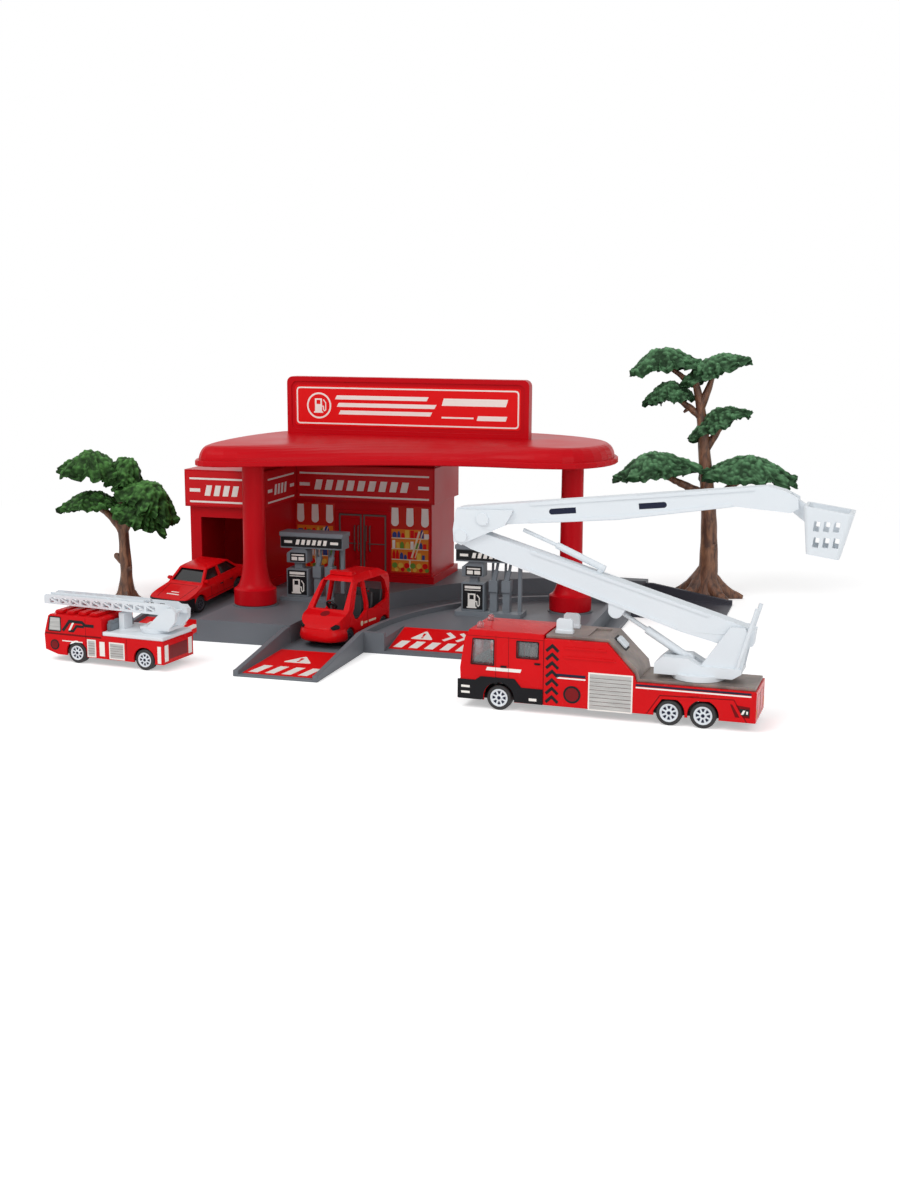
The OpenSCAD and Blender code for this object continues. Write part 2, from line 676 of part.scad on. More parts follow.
module bt_cab_side() {
  polygon([[-71, bt_nose], [-71.3, 20], [-69, 35], [-66.6, bt_roof], [-29.2, bt_roof],
    [-29.2, bt_sill], [-60.2, bt_sill], [-60.2, bt_nose]]);
}
module bt_cab() color("#e0161a") bt() difference() {
  side(bt_w) bt_cab_side();
  translate([0, 0, -eps]) side(bt_w - 3) polygon([[-69.6, bt_sill - 1], [-69.8, 20], [-67.5, 34.6],
    [-65.6, bt_roof - 1.6], [-31, bt_roof - 1.6], [-31, bt_sill - 1]]);
  arch(bt_axle_f, bt_wheel_r, bt_wheel_r + 1.6);
  side(80) polygon([[-65.6, 22.3], [-64.6, 35], [-54, 35], [-54, 22.3]]);
  side(80) polygon([[-42.5, 27], [-42.5, 35.2], [-31.7, 35.2], [-31.7, 27]]);
  box([-80, -bt_half + 3, 22.3], [-67.2, bt_half - 3, 34.4]);
  for (s = [-1, 1]) translate([-63, s * 9, 30]) cylinder(r = 1.8, h = 20, $fn = 20);
  bt_plate_slot();
}
module bt_glazing() color("#d8e4ea") bt() {
  difference() {
    side(bt_w - 3.3) polygon([[-69.4, 19], [-67.2, 34.6], [-65.3, bt_roof - 1.8],
      [-31.4, bt_roof - 1.8], [-31.4, 19]]);
    side(bt_w - 5.3) polygon([[-68.2, 17], [-66.1, 34], [-64.6, bt_roof - 2.8], [-32.6, bt_roof - 2.8],
      [-32.6, 17]]);
  }
  for (s = [-1, 1]) translate([-63, s * 9, bt_roof - 2.6]) {
    cylinder(r = 1.65, h = 4.2, $fn = 20);
    translate([0, 0, 4.2]) sphere(1.65, $fn = 20);
  }
}
module bt_body_side() {
  polygon([[-29, bt_sill], [-29, bt_top], [1.7, bt_top], [15, 23], [16, bt_rear_deck],
    [72.4, bt_rear_deck], [72.4, bt_sill]]);
}
module bt_body() color("#e0161a") bt() difference() {
  side(bt_w) bt_body_side();
  translate([0, 0, -eps]) side(bt_w - 3) polygon([[-27.4, bt_sill - 1], [-27.4, bt_top - 1.6],
    [0.9, bt_top - 1.6], [13.6, 22.6],
    [15, bt_rear_deck - 1.6], [70.8, bt_rear_deck - 1.6], [70.8, bt_sill - 1]]);
  for (x = [bt_axle_m, bt_axle_r]) arch(x, bt_wheel_r, bt_wheel_r + 1.2);
  translate([tt_x, 0, bt_sill]) cylinder(r = 4.06, h = 60);
  bt_plate_slot();
}
module bt_deck() color("#7d706c") bt() difference() {
  side(bt_w - 4) polygon([[-28.6, bt_top], [-28.6, bt_top + deck_t], [2.2, bt_top + deck_t],
    [16.4, 23.4 + deck_t], [17.4, bt_rear_deck + deck_t], [71.6, bt_rear_deck + deck_t],
    [71.6, bt_rear_deck], [16, bt_rear_deck], [15, 23], [1.7, bt_top]]);
  translate([tt_x, 0, bt_sill]) cylinder(r = 4.06, h = 60);
  box([-9, -bt_half + 6, bt_top + 0.8], [-1, bt_half - 6, bt_top + 9]);
}
module bt_clips() color("#efe9e6") bt() for (s = [-1, 1]) translate([0, s * 7, bt_top + deck_t]) {
  box([-25.4, -1.6, 0], [-16.6, 1.6, 1.6]);
  side(2) polygon([[-25, 1.4], [-25, 6.2], [-24, 7.2], [-18, 7.2], [-17, 6.2], [-17, 1.4]]);
}
module bt_wheels(x) { bt() translate([x, 0, bt_wheel_r]) wheel_pair(bt_wheel_r, bt_track, 4.8, 0.72); }
module bt_wheels_front() color("#1b1b1d") bt_wheels(bt_axle_f);
module bt_wheels_middle() color("#1b1b1d") bt_wheels(bt_axle_m);
module bt_wheels_rear() color("#1b1b1d") bt_wheels(bt_axle_r);

// Turntable and booms

bt_plate = bt_rear_deck + deck_t;
boom_half = boom_w / 2;
ear_in = boom_half + 0.3;
ear_out = ear_in + 2;
boom_len = norm([elbow_x - boom_px, elbow_z - boom_pz]);
boom_tilt = atan2(elbow_z - boom_pz, boom_px - elbow_x);
module pivot_pin(x, z, r, w) { translate([x, 0, z]) rotate([90, 0, 0]) cylinder(r = r, h = w,
  center = true, $fn = 28); }
module bt_turntable() color("#edf3f8") bt() {
  translate([tt_x, 0, bt_plate - 2.8]) cylinder(r = 4, h = 3.4, $fn = 32);
  translate([tt_x, 0, bt_plate + 0.1]) cylinder(r = 12.5, h = 2.6, $fn = 36);
  difference() {
    side(17) polygon([[tt_x - 20, bt_plate + 2], [tt_x - 20, bt_plate + 7], [tt_x - 16, bt_plate + 10.4],
      [tt_x - 4, bt_plate + 10.4], [tt_x + 2, bt_plate + 7], [tt_x + 21, bt_plate + 7],
        [tt_x + 21, bt_plate + 4.6],
      [tt_x + 17, bt_plate + 2]]);
    side(4.6) polygon([[strut_bx - 9, strut_bz - 5], [strut_bx - 14, strut_bz + 6], [strut_bx + 8,
      strut_bz + 6],
      [strut_bx + 6, strut_bz - 5]]);
  }
  for (s = [-1, 1]) translate([0, s * (ear_in + 1), 0]) side(2)
    polygon([[tt_x + 1, bt_plate + 6], [boom_px - 6, boom_pz + 1], [boom_px - 3, boom_pz + 5.4],
      [boom_px + 4, boom_pz + 5.4], [boom_px + 6, boom_pz], [tt_x + 21, bt_plate + 6]]);
  for (s = [-1, 1]) bar([tt_x + 18.6, s * 7.2, bt_plate + 6], [tt_x + 27, s * 7.2, bt_plate + 36], 1);
  pivot_pin(boom_px, boom_pz, pin_r, 2 * ear_out - 0.4);
  pivot_pin(strut_bx, strut_bz, pin_r, 10);
}
// Boom frame: origin at the lower boom pivot, U towards the elbow, V upwards.
module boom_frame() { translate([boom_px, 0, boom_pz]) mirror([1, 0, 0]) rotate([0, -boom_tilt, 0])
  children(); }
strut_u = (boom_px - strut_tx) * cos(boom_tilt) + (strut_tz - boom_pz) * sin(boom_tilt);
strut_v = (strut_tz - boom_pz) * cos(boom_tilt) - (boom_px - strut_tx) * sin(boom_tilt);
module bt_lower_boom() color("#edf3f8") bt() boom_frame() {
  difference() {
    union() {
      side(boom_w) polygon([[-8, -1], [-6.6, 6.6], [boom_len - 4, 4.6], [boom_len + 3, 3.4],
        [boom_len + 4.6, 0],
        [boom_len + 3, -3.6], [boom_len - 6, -5], [26, -6.8], [7, -5.6], [-4, -4.4]]);
      side(boom_w) hull() {
        translate([strut_u, strut_v]) circle(3.6);
        translate([strut_u, -5.4]) square([9, 1], center = true);
      }
    }
    side(boom_w - 2.6) polygon([[12, -9], [12, 3.6], [boom_len - 14, 2], [boom_len - 14, -9]]);
    translate([strut_u, 0, strut_v]) side(boom_w - 2.6) square([13, 9], center = true);
    pivot_pin(0, 0, pin_r + axle_gap, 40);
    pivot_pin(boom_len, 0, pin_r + axle_gap, 40);
  }
  pivot_pin(strut_u, strut_v, lug_pin_r, boom_w - 0.4);
}
module bt_upper_boom() color("#edf3f8") bt() {
  bt_upper_beam();
  pivot_pin(elbow_x, elbow_z, pin_r, 2 * ear_out - 0.2);
  pivot_pin(tip_x, tip_z, 1.2, boom_w - 0.4);
}
module bt_upper_beam() difference() {
  union() {
    side(boom_w) polygon([[elbow_x - 3, elbow_z + 6.6], [elbow_x - 3, elbow_z + 13.4],
      [elbow_x, elbow_z + 14],
      [72, 113.6], [80, 111.6], [tip_x + 3, tip_z + 3], [tip_x + 3.4, tip_z - 2], [tip_x, tip_z - 4],
        [58, 103.6],
      [3, 94.8], [elbow_x + 24, elbow_z + 6.6]]);
    for (s = [-1, 1]) translate([0, s * (ear_in + 0.8), 0]) side(1.6)
      polygon([[elbow_x - 4.4, elbow_z + 3], [elbow_x - 3, elbow_z + 13], [elbow_x + 26, elbow_z + 13.6],
        [elbow_x + 22, elbow_z + 6], [elbow_x + 4.6, elbow_z - 2], [elbow_x, elbow_z - 4.6],
          [elbow_x - 4, elbow_z - 3]]);
    box([elbow_x - 2.6, -ear_out + 0.6, elbow_z + 7.2], [elbow_x + 20, ear_out - 0.6, elbow_z + 12.6]);
    for (p = [[elbow_x, elbow_z], [elbow_x + 10.8, elbow_z + 8.8]]) pivot_pin(p[0], p[1], 3,
      2 * ear_out + 1.4);
  }
  side(boom_w + 0.4) polygon([[elbow_x - 12, elbow_z - 8], [elbow_x - 12, elbow_z + 5.6], [elbow_x + 7,
    elbow_z + 6.2],
    [elbow_x + 16, elbow_z + 1], [elbow_x + 14, elbow_z - 8]]);
  side(4.4) polygon([[tip_x - 5, tip_z - 8], [tip_x - 5, tip_z + 3.4], [tip_x + 10, tip_z + 8],
    [tip_x + 10, tip_z - 8]]);
  side(boom_w - 2.6) polygon([[elbow_x + 30, elbow_z + 4], [elbow_x + 30, elbow_z + 11], [66, 106.6],
    [58, 101], [3, 92]]);
}
module bucket_shape(in) {
  hull() {
    translate([tip_x + 17, 0, tip_z - 1.4 + in]) rotate([0, 8, 0]) translate([0, 0, -1])
      rbox([22 - 2 * in, 19 - 2 * in, 1], 2);
    translate([tip_x + 15, 0, tip_z - 23 + in]) rotate([0, 8, 0]) rbox([15 - 2 * in, 15 - 2 * in, 1], 2);
  }
}
module bt_bucket() color("#eef3f7") bt() difference() {
  union() {
    difference() {
      bucket_shape(0);
      translate([0, 0, 1.4]) bucket_shape(1.4);
    }
    side(3.9) polygon([[tip_x - 2.8, tip_z - 2], [tip_x - 1.6, tip_z + 2.6], [tip_x + 2.4,
      tip_z + 2.4], [tip_x + 7.4, tip_z - 1],
      [tip_x + 8.2, tip_z - 11], [tip_x + 6, tip_z - 8], [tip_x, tip_z - 3.4]]);
  }
  pivot_pin(tip_x, tip_z, 1.2 + axle_gap, 30);
  for (i = [0 : 2], k = [0, 1])
    translate([tip_x + 12 + 4.4 * i, 0, tip_z - 16.4 + 7.4 * k]) rotate([0, 8, 0]) cube([2.6, 60, 4.6],
      center = true);
}
// Lift strut: the barrel turns on the turntable, the rod slides in it and meets the boom lug.
strut_len = norm([strut_tx - strut_bx, strut_tz - strut_bz]);
strut_tilt = atan2(strut_tz - strut_bz, strut_bx - strut_tx);
module strut_frame() { translate([strut_bx, 0, strut_bz]) mirror([1, 0, 0]) rotate([0, -strut_tilt, 0])
  children(); }
module bt_lift_barrel() color("#e4ebf1") bt() strut_frame() difference() {
  union() {
    pivot_pin(0, 0, 2.8, 4);
    rotate([0, 90, 0]) cylinder(r = 2, h = 24, $fn = 24);
  }
  pivot_pin(0, 0, pin_r + axle_gap, 30);
  translate([5, 0, 0]) rotate([0, 90, 0]) cylinder(r = 1.15, h = 40, $fn = 24);
}
module bt_lift_rod() color("#dfe7ee") bt() strut_frame() difference() {
  union() {
    translate([6.4, 0, 0]) rotate([0, 90, 0]) cylinder(r = 1.1, h = strut_len - 8.6, $fn = 24);
    pivot_pin(strut_len, 0, lug_pin_r + lug_play + 1.1, 3);
  }
  pivot_pin(strut_len, 0, lug_pin_r + lug_play, 10);
}
module bt_fold_strut() color("#e4ebf1") bt() boom_frame() {
  bar([72, 0, 5.6], [72, 0, 8.2], 1.4);
  bar([70, 0, 8], [96, 0, 10.8], 1.7);
  bar([96, 0, 10.8], [114, 0, 12.2], 1);
}

// Ladder truck, heading along its own -X

module lt() { translate([lt_x, lt_y, 0]) rotate([0, 0, lt_yaw]) children(); }
lt_half = lt_w / 2;
lt_track = lt_w - 0.6;
lt_rear = 33.8;
lt_roof = lt_deck_z + 9.6;
module lt_chassis() color("#242427") lt() difference() {
  union() {
    box([-38, -lt_half + 5.8, lt_sill - 0.6], [32.2, lt_half - 5.8, lt_sill + 2]);
    for (x = [-9, 8]) translate([x, 0, lt_sill]) cylinder(r = 2.2, h = lt_deck_z - 1.4 - lt_sill,
      $fn = 20);
    for (x = [lt_axle_f, lt_axle_r]) box([x - 3.6, -lt_half + 5.6, 3], [x + 3.6, lt_half - 5.6,
      lt_wheel_r + 2.4]);
  }
  for (x = [lt_axle_f, lt_axle_r]) axle_bore(x, lt_wheel_r);
}
module lt_body() color("#d81418") lt() difference() {
  side(lt_w) polygon([[-34, lt_sill], [-42.2, lt_sill + 2.4], [-42.7, 15], [-42.2, 17],
    [-39.8, lt_roof - 1], [-38.4, lt_roof], [-6, lt_roof], [-5, lt_roof - 1], [-5, lt_deck_z],
    [lt_rear, lt_deck_z], [lt_rear, lt_sill]]);
  side(lt_w - 2.8) polygon([[-41, lt_sill - 1], [-41.2, 15], [-38.4, lt_roof - 1.5], [-6.6, lt_roof - 1.5],
    [-6.6, lt_deck_z - 1.4], [lt_rear - 1.4, lt_deck_z - 1.4], [lt_rear - 1.4, lt_sill - 1]]);
  for (x = [lt_axle_f, lt_axle_r]) arch(x, lt_wheel_r, lt_wheel_r + 1);
  side(80) polygon([[-39.6, 17.2], [-38.4, 24.6], [-31.7, 24.6], [-31.7, 17.2]]);
  box([-60, -lt_half + 2.4, 17.4], [-38.8, lt_half - 2.4, 24]);
}
module lt_glazing() color("#2a2d31") lt() difference() {
  side(lt_w - 3) polygon([[-40.8, 16], [-38.2, lt_roof - 1.6], [-6.8, lt_roof - 1.6], [-6.8, 16]]);
  side(lt_w - 5) polygon([[-39.6, 12], [-37.2, lt_roof - 2.6], [-8, lt_roof - 2.6], [-8, 12]]);
}
// The ladder's rest stands clear of the circle that the turntable's ears sweep.
lt_rest = lt_tt_x - norm([lt_px + 4.4 - lt_tt_x, ladder_half + 2.3]) - 0.6;
module lt_deck() color("#ecebe8") lt() difference() {
  union() {
    box([-4.8, -lt_half + 0.4, lt_deck_z], [lt_rear - 0.4, lt_half - 0.4, lt_deck_z + 2.2]);
    box([lt_rest - 3.4, -4, lt_deck_z + 2.2 - eps], [lt_rest, 4, lt_pz - 2.4]);
  }
  box([-4, -lt_half + 3, lt_deck_z + 1], [lt_rest - 3.8, lt_half - 3, lt_deck_z + 9]);
  translate([lt_tt_x, 0, 0]) cylinder(r = 3.06, h = 60);
}
module lt_wheels_front() color("#1b1b1d") lt() translate([lt_axle_f, 0, lt_wheel_r])
  wheel_pair(lt_wheel_r, lt_track, 4.4, 0.7);
module lt_wheels_rear() color("#1b1b1d") lt() translate([lt_axle_r, 0, lt_wheel_r])
  wheel_pair(lt_wheel_r, lt_track, 4.4, 0.7);
lt_plate = lt_deck_z + 2.2;
module lt_turntable() color("#eceae6") lt() {
  translate([lt_tt_x, 0, lt_deck_z + 0.4]) cylinder(r = 3, h = 3);
  translate([lt_tt_x, 0, lt_plate + 0.1]) cylinder(r = 9, h = 2, $fn = 36);
  box([lt_tt_x - 6, -7.8, lt_plate + 2], [lt_px, 7.8, lt_plate + 3.4]);
  for (s = [-1, 1]) translate([0, s * (ladder_half + 1.3), 0]) side(2)
    polygon([[lt_tt_x - 2, lt_plate + 3], [lt_px - 4, lt_pz + 1.4], [lt_px - 1.4, lt_pz + 3],
      [lt_px + 2.6, lt_pz + 3], [lt_px + 4.4, lt_pz + 1], [lt_px + 4, lt_pz - 4], [lt_px, lt_plate + 3]]);
  pivot_pin(lt_px, lt_pz, 1.1, 2 * ladder_half + 4);
}
module ladder_frame() { translate([lt_px, 0, lt_pz]) mirror([1, 0, 0]) rotate([0, -ladder_rise, 0])
  children(); }
function rungs(n, first, last) = [for (i = [0 : n - 1]) first + (last - first) * i / (n - 1)];
ladder_bays = 10;
ladder_bay = (ladder_len - 12) / ladder_bays;
module lt_ladder() color("#f1f0ec") lt() ladder_frame() difference() {
  union() {
    for (s = [-1, 1]) {
      translate([0, s * (ladder_half - 0.7), 0]) side(1.4) polygon([[-4.4, -1.4], [-4.4, 1.6], [2, 4.6],
        [ladder_len - 1, 4.6], [ladder_len, 3.8], [ladder_len, -0.6], [6, -1.4]]);
      translate([0, s * (ladder_half - 2.4), 0]) side(1) polygon([[18, 3.6], [18, 5.6], [ladder_len - 3,
        5.6], [ladder_len - 3, 3.6]]);
    }
    for (u = rungs(ladder_bays + 1, 9, ladder_len - 3))
      bar([u, -ladder_half + 1, 0.2], [u, ladder_half - 1, 0.2], 0.7);
    for (u = rungs(ladder_bays - 1, 20.6, ladder_len - 7))
      box([u - 0.6, -ladder_half + 1, 3.4], [u + 0.6, ladder_half - 1, 4.4]);
  }
  pivot_pin(0, 0, 1.1 + axle_gap, 40);
  for (u = rungs(ladder_bays, 9.7, ladder_len - 3 - ladder_bay + 0.7)) side(40) {
    polygon([[u, 0.3], [u, 3], [u + ladder_bay - 2.2, 3]]);
    polygon([[u + 1, 0], [u + ladder_bay - 1.4, 0], [u + ladder_bay - 1.4, 2.5]]);
  }
}

// Sedan, heading along its own -X, standing nose down on the garage ramp

sd_half = sd_w / 2;
sd_floor = ramp_lip + (sd_y - base_front) * tan(garage_slope) + rest_gap;
module sd() {
  translate([sd_x, sd_y, sd_floor]) rotate([garage_slope, 0, 0]) rotate([0, 0, sd_yaw]) children();
}
module sd_chassis() color("#232326") sd() difference() {
  union() {
    box([-33, -sd_half + 5.4, 3], [33, sd_half - 5.4, 5.4]);
    for (s = [-1, 1]) box([s * sd_axle - 3.4, -sd_half + 5.2, 2.6], [s * sd_axle + 3.4, sd_half - 5.2,
      sd_wheel_r + 2]);
    side(sd_w - 2) polygon([[-36.6, 3], [-36.6, 5.4], [-30, 5.4], [-30, 3]]);
  }
  for (s = [-1, 1]) axle_bore(s * sd_axle, sd_wheel_r);
}
// Sedan outlines: lower body and cabin from the side, and the whole car from the front.
sd_belt = 15;
module sd_low_2d() {
  polygon([[-34.4, 5.6], [-36.6, 6.6], [-36.4, 9.6], [-34.4, 11.6], [-16, sd_belt + 0.4],
    [28, sd_belt + 0.8], [34.6, sd_belt], [36.4, 12.6], [36, 6.6], [34.6, 5.6]]);
}
module sd_cabin_2d() {
  polygon([[-17, sd_belt - 0.4], [-6.6, 23.4], [-3, 24.5], [12, 24.5], [17, 23.4], [28, sd_belt - 0.4]]);
}
module sd_front_2d() {
  polygon([[-sd_half, 5.6], [-sd_half, 13.4], [1.6 - sd_half, sd_belt + 0.6], [4.6 - sd_half, 23.4],
    [6.4 - sd_half, 24.5], [sd_half - 6.4, 24.5], [sd_half - 4.6, 23.4], [sd_half - 1.6, sd_belt + 0.6],
    [sd_half, 13.4], [sd_half, 5.6]]);
}
module sd_cabin(in) {
  intersection() {
    side(sd_w) offset(delta = -in) sd_cabin_2d();
    along_x(-40, 80) offset(delta = -in) sd_front_2d();
  }
}
module sd_body() color("#d81418") sd() difference() {
  intersection() {
    side(sd_w) union() { sd_low_2d(); sd_cabin_2d(); }
    along_x(-40, 80) sd_front_2d();
    linear_extrude(40) offset(6) offset(-6) square([73.2, sd_w], center = true);
  }
  sd_cabin(1);
  box([-29, -sd_half + 1.6, 4], [29, sd_half - 1.6, 9.6]);
  box([-35, -sd_half + 5, 4], [34, sd_half - 5, 8.4]);
  for (s = [-1, 1]) arch(s * sd_axle, sd_wheel_r, sd_wheel_r + 0.9);
  side(80) polygon([[-12.4, sd_belt + 1.8], [-5.6, 22.8], [3.4, 22.8], [3.4, sd_belt + 1.8]]);
  side(80) polygon([[5.2, sd_belt + 1.8], [5.2, 22.8], [15.6, 22.8], [23, sd_belt + 1.8]]);
  for (x = [-18, 14.8]) along_x(x, 14) polygon([[3.4 - sd_half, sd_belt + 1.4], [6 - sd_half, 22.8],
    [sd_half - 6, 22.8], [sd_half - 3.4, sd_belt + 1.4]]);
}
module sd_glazing() color("#2b2e33") sd() sd_cabin(1 + fit_gap);
module sd_wheels_front() color("#1b1b1d") sd() translate([-sd_axle, 0, sd_wheel_r])
  wheel_pair(sd_wheel_r, sd_w - 0.8, 4, 0.7);
module sd_wheels_rear() color("#1b1b1d") sd() translate([sd_axle, 0, sd_wheel_r])
  wheel_pair(sd_wheel_r, sd_w - 0.8, 4, 0.7);

// Open cart, heading along its own -X, standing in the lane

ct_half = ct_w / 2;
module ct() { translate([ct_x, ct_y, lane_h + rest_gap]) rotate([0, 0, ct_yaw]) children(); }
module ct_chassis() color("#26262a") ct() difference() {
  union() {
    box([-30, -ct_half + 5.2, 3], [31, ct_half - 5.2, 5.2]);
    for (s = [-1, 1]) box([s * ct_axle - 3.2, -ct_half + 5, 2.6], [s * ct_axle + 3.2, ct_half - 5,
      ct_wheel_r + 2]);
  }
  for (s = [-1, 1]) axle_bore(s * ct_axle, ct_wheel_r);
}
module ct_side_2d() {
  polygon([[-34, 4], [-35, 8], [-33.4, 13.4], [-28, 17.4], [-22.4, 19.6], [-11, 35.4], [-7.6, 37.6],
    [-4, 38.2], [24, 38.2],
    [30, 35], [33.4, 24], [34, 14], [34, 4]]);
}
module ct_front_2d() {
  polygon([[-ct_half, 4], [-ct_half, 21], [2.8 - ct_half, 34.6], [6 - ct_half, 38.2], [ct_half - 6, 38.2],
    [ct_half - 2.8, 34.6], [ct_half, 21], [ct_half, 4]]);
}
module ct_body() color("#e0161a") ct() difference() {
  union() {
    intersection() {
      side(ct_w) ct_side_2d();
      along_x(-40, 80) ct_front_2d();
      translate([-0.5, 0, 0]) linear_extrude(60) offset(9) offset(-9) square([69, ct_w], center = true);
    }
    translate([-5, 0, 38]) rbox([5, 15, 2.2], 1);
  }
  box([-27, -ct_half + 1.8, 5.3], [27, ct_half - 1.8, 16.4]);
  intersection() {
    side(ct_w) polygon([[-20.6, 16], [-20.6, 19.6], [-9.6, 35], [-4, 36.4], [22, 36.4], [26.4, 34],
      [28, 23.6], [28, 16]]);
    along_x(-40, 80) offset(delta = -1.8) ct_front_2d();
  }
  side(80) polygon([[-17, 18.4], [-8, 32.6], [-5.6, 34.4], [-1, 34.4], [-1, 17.4], [-8, 13.6],
    [-14, 14]]);
  side(80) polygon([[1.4, 17.4], [1.4, 34.4], [21, 34.4], [24.6, 31.4], [26.4, 23.6], [24, 20],
    [10, 17]]);
  along_x(-30, 25) polygon([[-ct_half + 3.4, 20.4], [-ct_half + 4.4, 35.2], [ct_half - 4.4, 35.2],
    [ct_half - 3.4, 20.4]]);
  along_x(24, 20) polygon([[-ct_half + 5.4, 22], [-ct_half + 5.8, 33], [ct_half - 5.8, 33],
    [ct_half - 5.4, 22]]);
  for (s = [-1, 1]) arch(s * ct_axle, ct_wheel_r, ct_wheel_r + 0.9);
  box([-35.6, -ct_half + 5, 2], [35, ct_half - 5, 5.3]);
}
module ct_seats() color("#1d1d20") ct() {
  box([-24, -ct_half + 5.4, ct_wheel_r + 2], [26, ct_half - 5.4, ct_wheel_r + 3.4]);
  for (x = [-6, 6, 17.4]) {
    box([x, -ct_half + 4.7, ct_wheel_r + 3.4 - eps], [x + 8.4, ct_half - 4.7, 13]);
    for (s = [-1, 1]) translate([x + 6.4, s * 5.2, 12.6]) rotate([0, 8, 0]) rbox([2.4, 8.6, 12.6], 1);
  }
  bar([-13, 5, ct_wheel_r + 3], [-9.4, 5, 20], 0.7);
  translate([-9.2, 5, 20.4]) rotate([0, 60, 0]) rotate_extrude($fn = 20) translate([3, 0])
    circle(0.7, $fn = 8);
  translate([-9.2, 5, 20.4]) rotate([0, 60, 0]) cube([1.2, 6, 1], center = true);
}
module ct_wheels_front() color("#1b1b1d") ct() translate([-ct_axle, 0, ct_wheel_r])
  wheel_pair(ct_wheel_r, ct_w - 0.6, 4, 0.68);
module ct_wheels_rear() color("#1b1b1d") ct() translate([ct_axle, 0, ct_wheel_r])
  wheel_pair(ct_wheel_r, ct_w - 0.6, 4, 0.68);

// Trees

module limb(p, r, q, s) { hull() { translate(p) sphere(r, $fn = 10); translate(q) sphere(s, $fn = 10); } }
module pad(p, size) { hull() translate(p) scale(size) sphere(1, $fn = 20); }
module at_tree(k) {
  translate(k == 1 ? [tree1_x, tree1_y, 0] : [tree2_x, tree2_y, 0])
    scale(k == 1 ? tree1_h / 102 : tree2_h / 170) children();
}
module tree_left_trunk() color("#6b4a35") at_tree(1) {
  cylinder(r1 = 11, r2 = 7, h = 3, $fn = 20);
  limb([0, 0, 6.6], 6.4, [0.6, 0, 16], 3.8);
  limb([0.6, 0, 16], 3.8, [-0.6, 0, 50], 3.2);
  limb([-2, 0, 27], 2.4, [-5.6, 0, 31], 1.6);
  tree_left_limbs(0);
}
module tree_left_limbs(g) {
  limb([-0.6, 0, 48], 3.2 + g, [-16, 0, 62], 2.2 + g);
  limb([-0.6, 0, 48], 3.2 + g, [12, 0, 62], 2.4 + g);
}
module tree_left_foliage() color("#2f5a33") at_tree(1) difference() {
  union() {
    pad([16, 2, 73], [22, 20, 25]);
    pad([-20, -2, 91], [25, 18, 11]);
    pad([-25, 0, 66], [23, 16, 8]);
    pad([-4, 4, 85], [17, 14, 12]);
  }
  tree_left_limbs(0.15);
}
module tree_right_limbs(g) {
  limb([0, 0, 62], 5 + g, [-4, 0, 104], 3.8 + g);
  limb([-4, 0, 104], 3.8 + g, [-7, 0, 128], 3 + g);
  limb([-7, 0, 128], 3 + g, [-12, 0, 150], 2.2 + g);
  limb([0, 0, 72], 3 + g, [-34, -2, 84], 1.8 + g);
  limb([0, 0, 72], 3 + g, [26, -2, 84], 1.8 + g);
  limb([-3, 0, 104], 2.6 + g, [8, 0, 116], 1.8 + g);
  limb([-6, 0, 126], 2.4 + g, [-26, 0, 135], 1.6 + g);
  limb([-7, 0, 128], 2.4 + g, [2, 0, 152], 1.6 + g);
  limb([-11, 0, 146], 2.2 + g, [-32, 0, 156], 1.4 + g);
}
module tree_right_trunk() color("#6b4a35") at_tree(2) {
  cylinder(r1 = 15, r2 = 10, h = 4, $fn = 22);
  for (a = [20, 95, 165, 235, 310]) limb([0, 0, 6], 4.6, [19 * cos(a), 15 * sin(a), 2.8], 2.6);
  limb([0, 0, 9.2], 9, [2, 0, 26], 6);
  limb([2, 0, 26], 6, [0, 0, 62], 5);
  tree_right_limbs(0);
}
module tree_right_foliage() color("#2f5a33") at_tree(2) difference() {
  union() {
    pad([-33, 0, 160], [26, 18, 10]);
    pad([1, 0, 156], [26, 18, 11]);
    pad([-29, 0, 138], [18, 14, 9]);
    pad([5, 0, 121], [23, 18, 12]);
    pad([-36, -3, 89], [31, 20, 12]);
    pad([27, -3, 88], [35, 22, 11]);
  }
  tree_right_limbs(0.15);
}

// Selection

base_deck();
lane_ramp();
exit_ramp();
building_walls();
fascia_roof();
shop_door();
column_left();
column_right();
canopy_shell();
canopy_soffit();
sign_board();
sign_label();
fascia_labels();
window_labels();
ramp_labels();
pump_frame_1();
pump_cabinet_1();
pump_nozzles_1();
pump_frame_2();
pump_cabinet_2();
pump_nozzles_2();
pump_labels();
bt_chassis();
bt_cab();
bt_body();
bt_glazing();
bt_deck();
bt_clips();
bt_wheels_front();
bt_wheels_middle();
bt_wheels_rear();
bt_turntable();
bt_lower_boom();
bt_upper_boom();
bt_bucket();
bt_lift_barrel();
bt_lift_rod();
bt_fold_strut();
lt_chassis();
lt_body();
lt_glazing();
lt_deck();
lt_wheels_front();
lt_wheels_rear();
lt_turntable();
lt_ladder();
sd_chassis();
sd_body();
sd_glazing();
sd_wheels_front();
sd_wheels_rear();
ct_chassis();
ct_body();
ct_seats();
ct_wheels_front();
ct_wheels_rear();
tree_left_trunk();
tree_left_foliage();
tree_right_trunk();
tree_right_foliage();
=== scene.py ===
# Looks of the toy gas station playset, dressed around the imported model.
# Sizes and places are millimetres in the model's own frame; MM turns them into metres.
import math
import random
import bmesh
import bpy
from mathutils import Matrix, Vector, noise


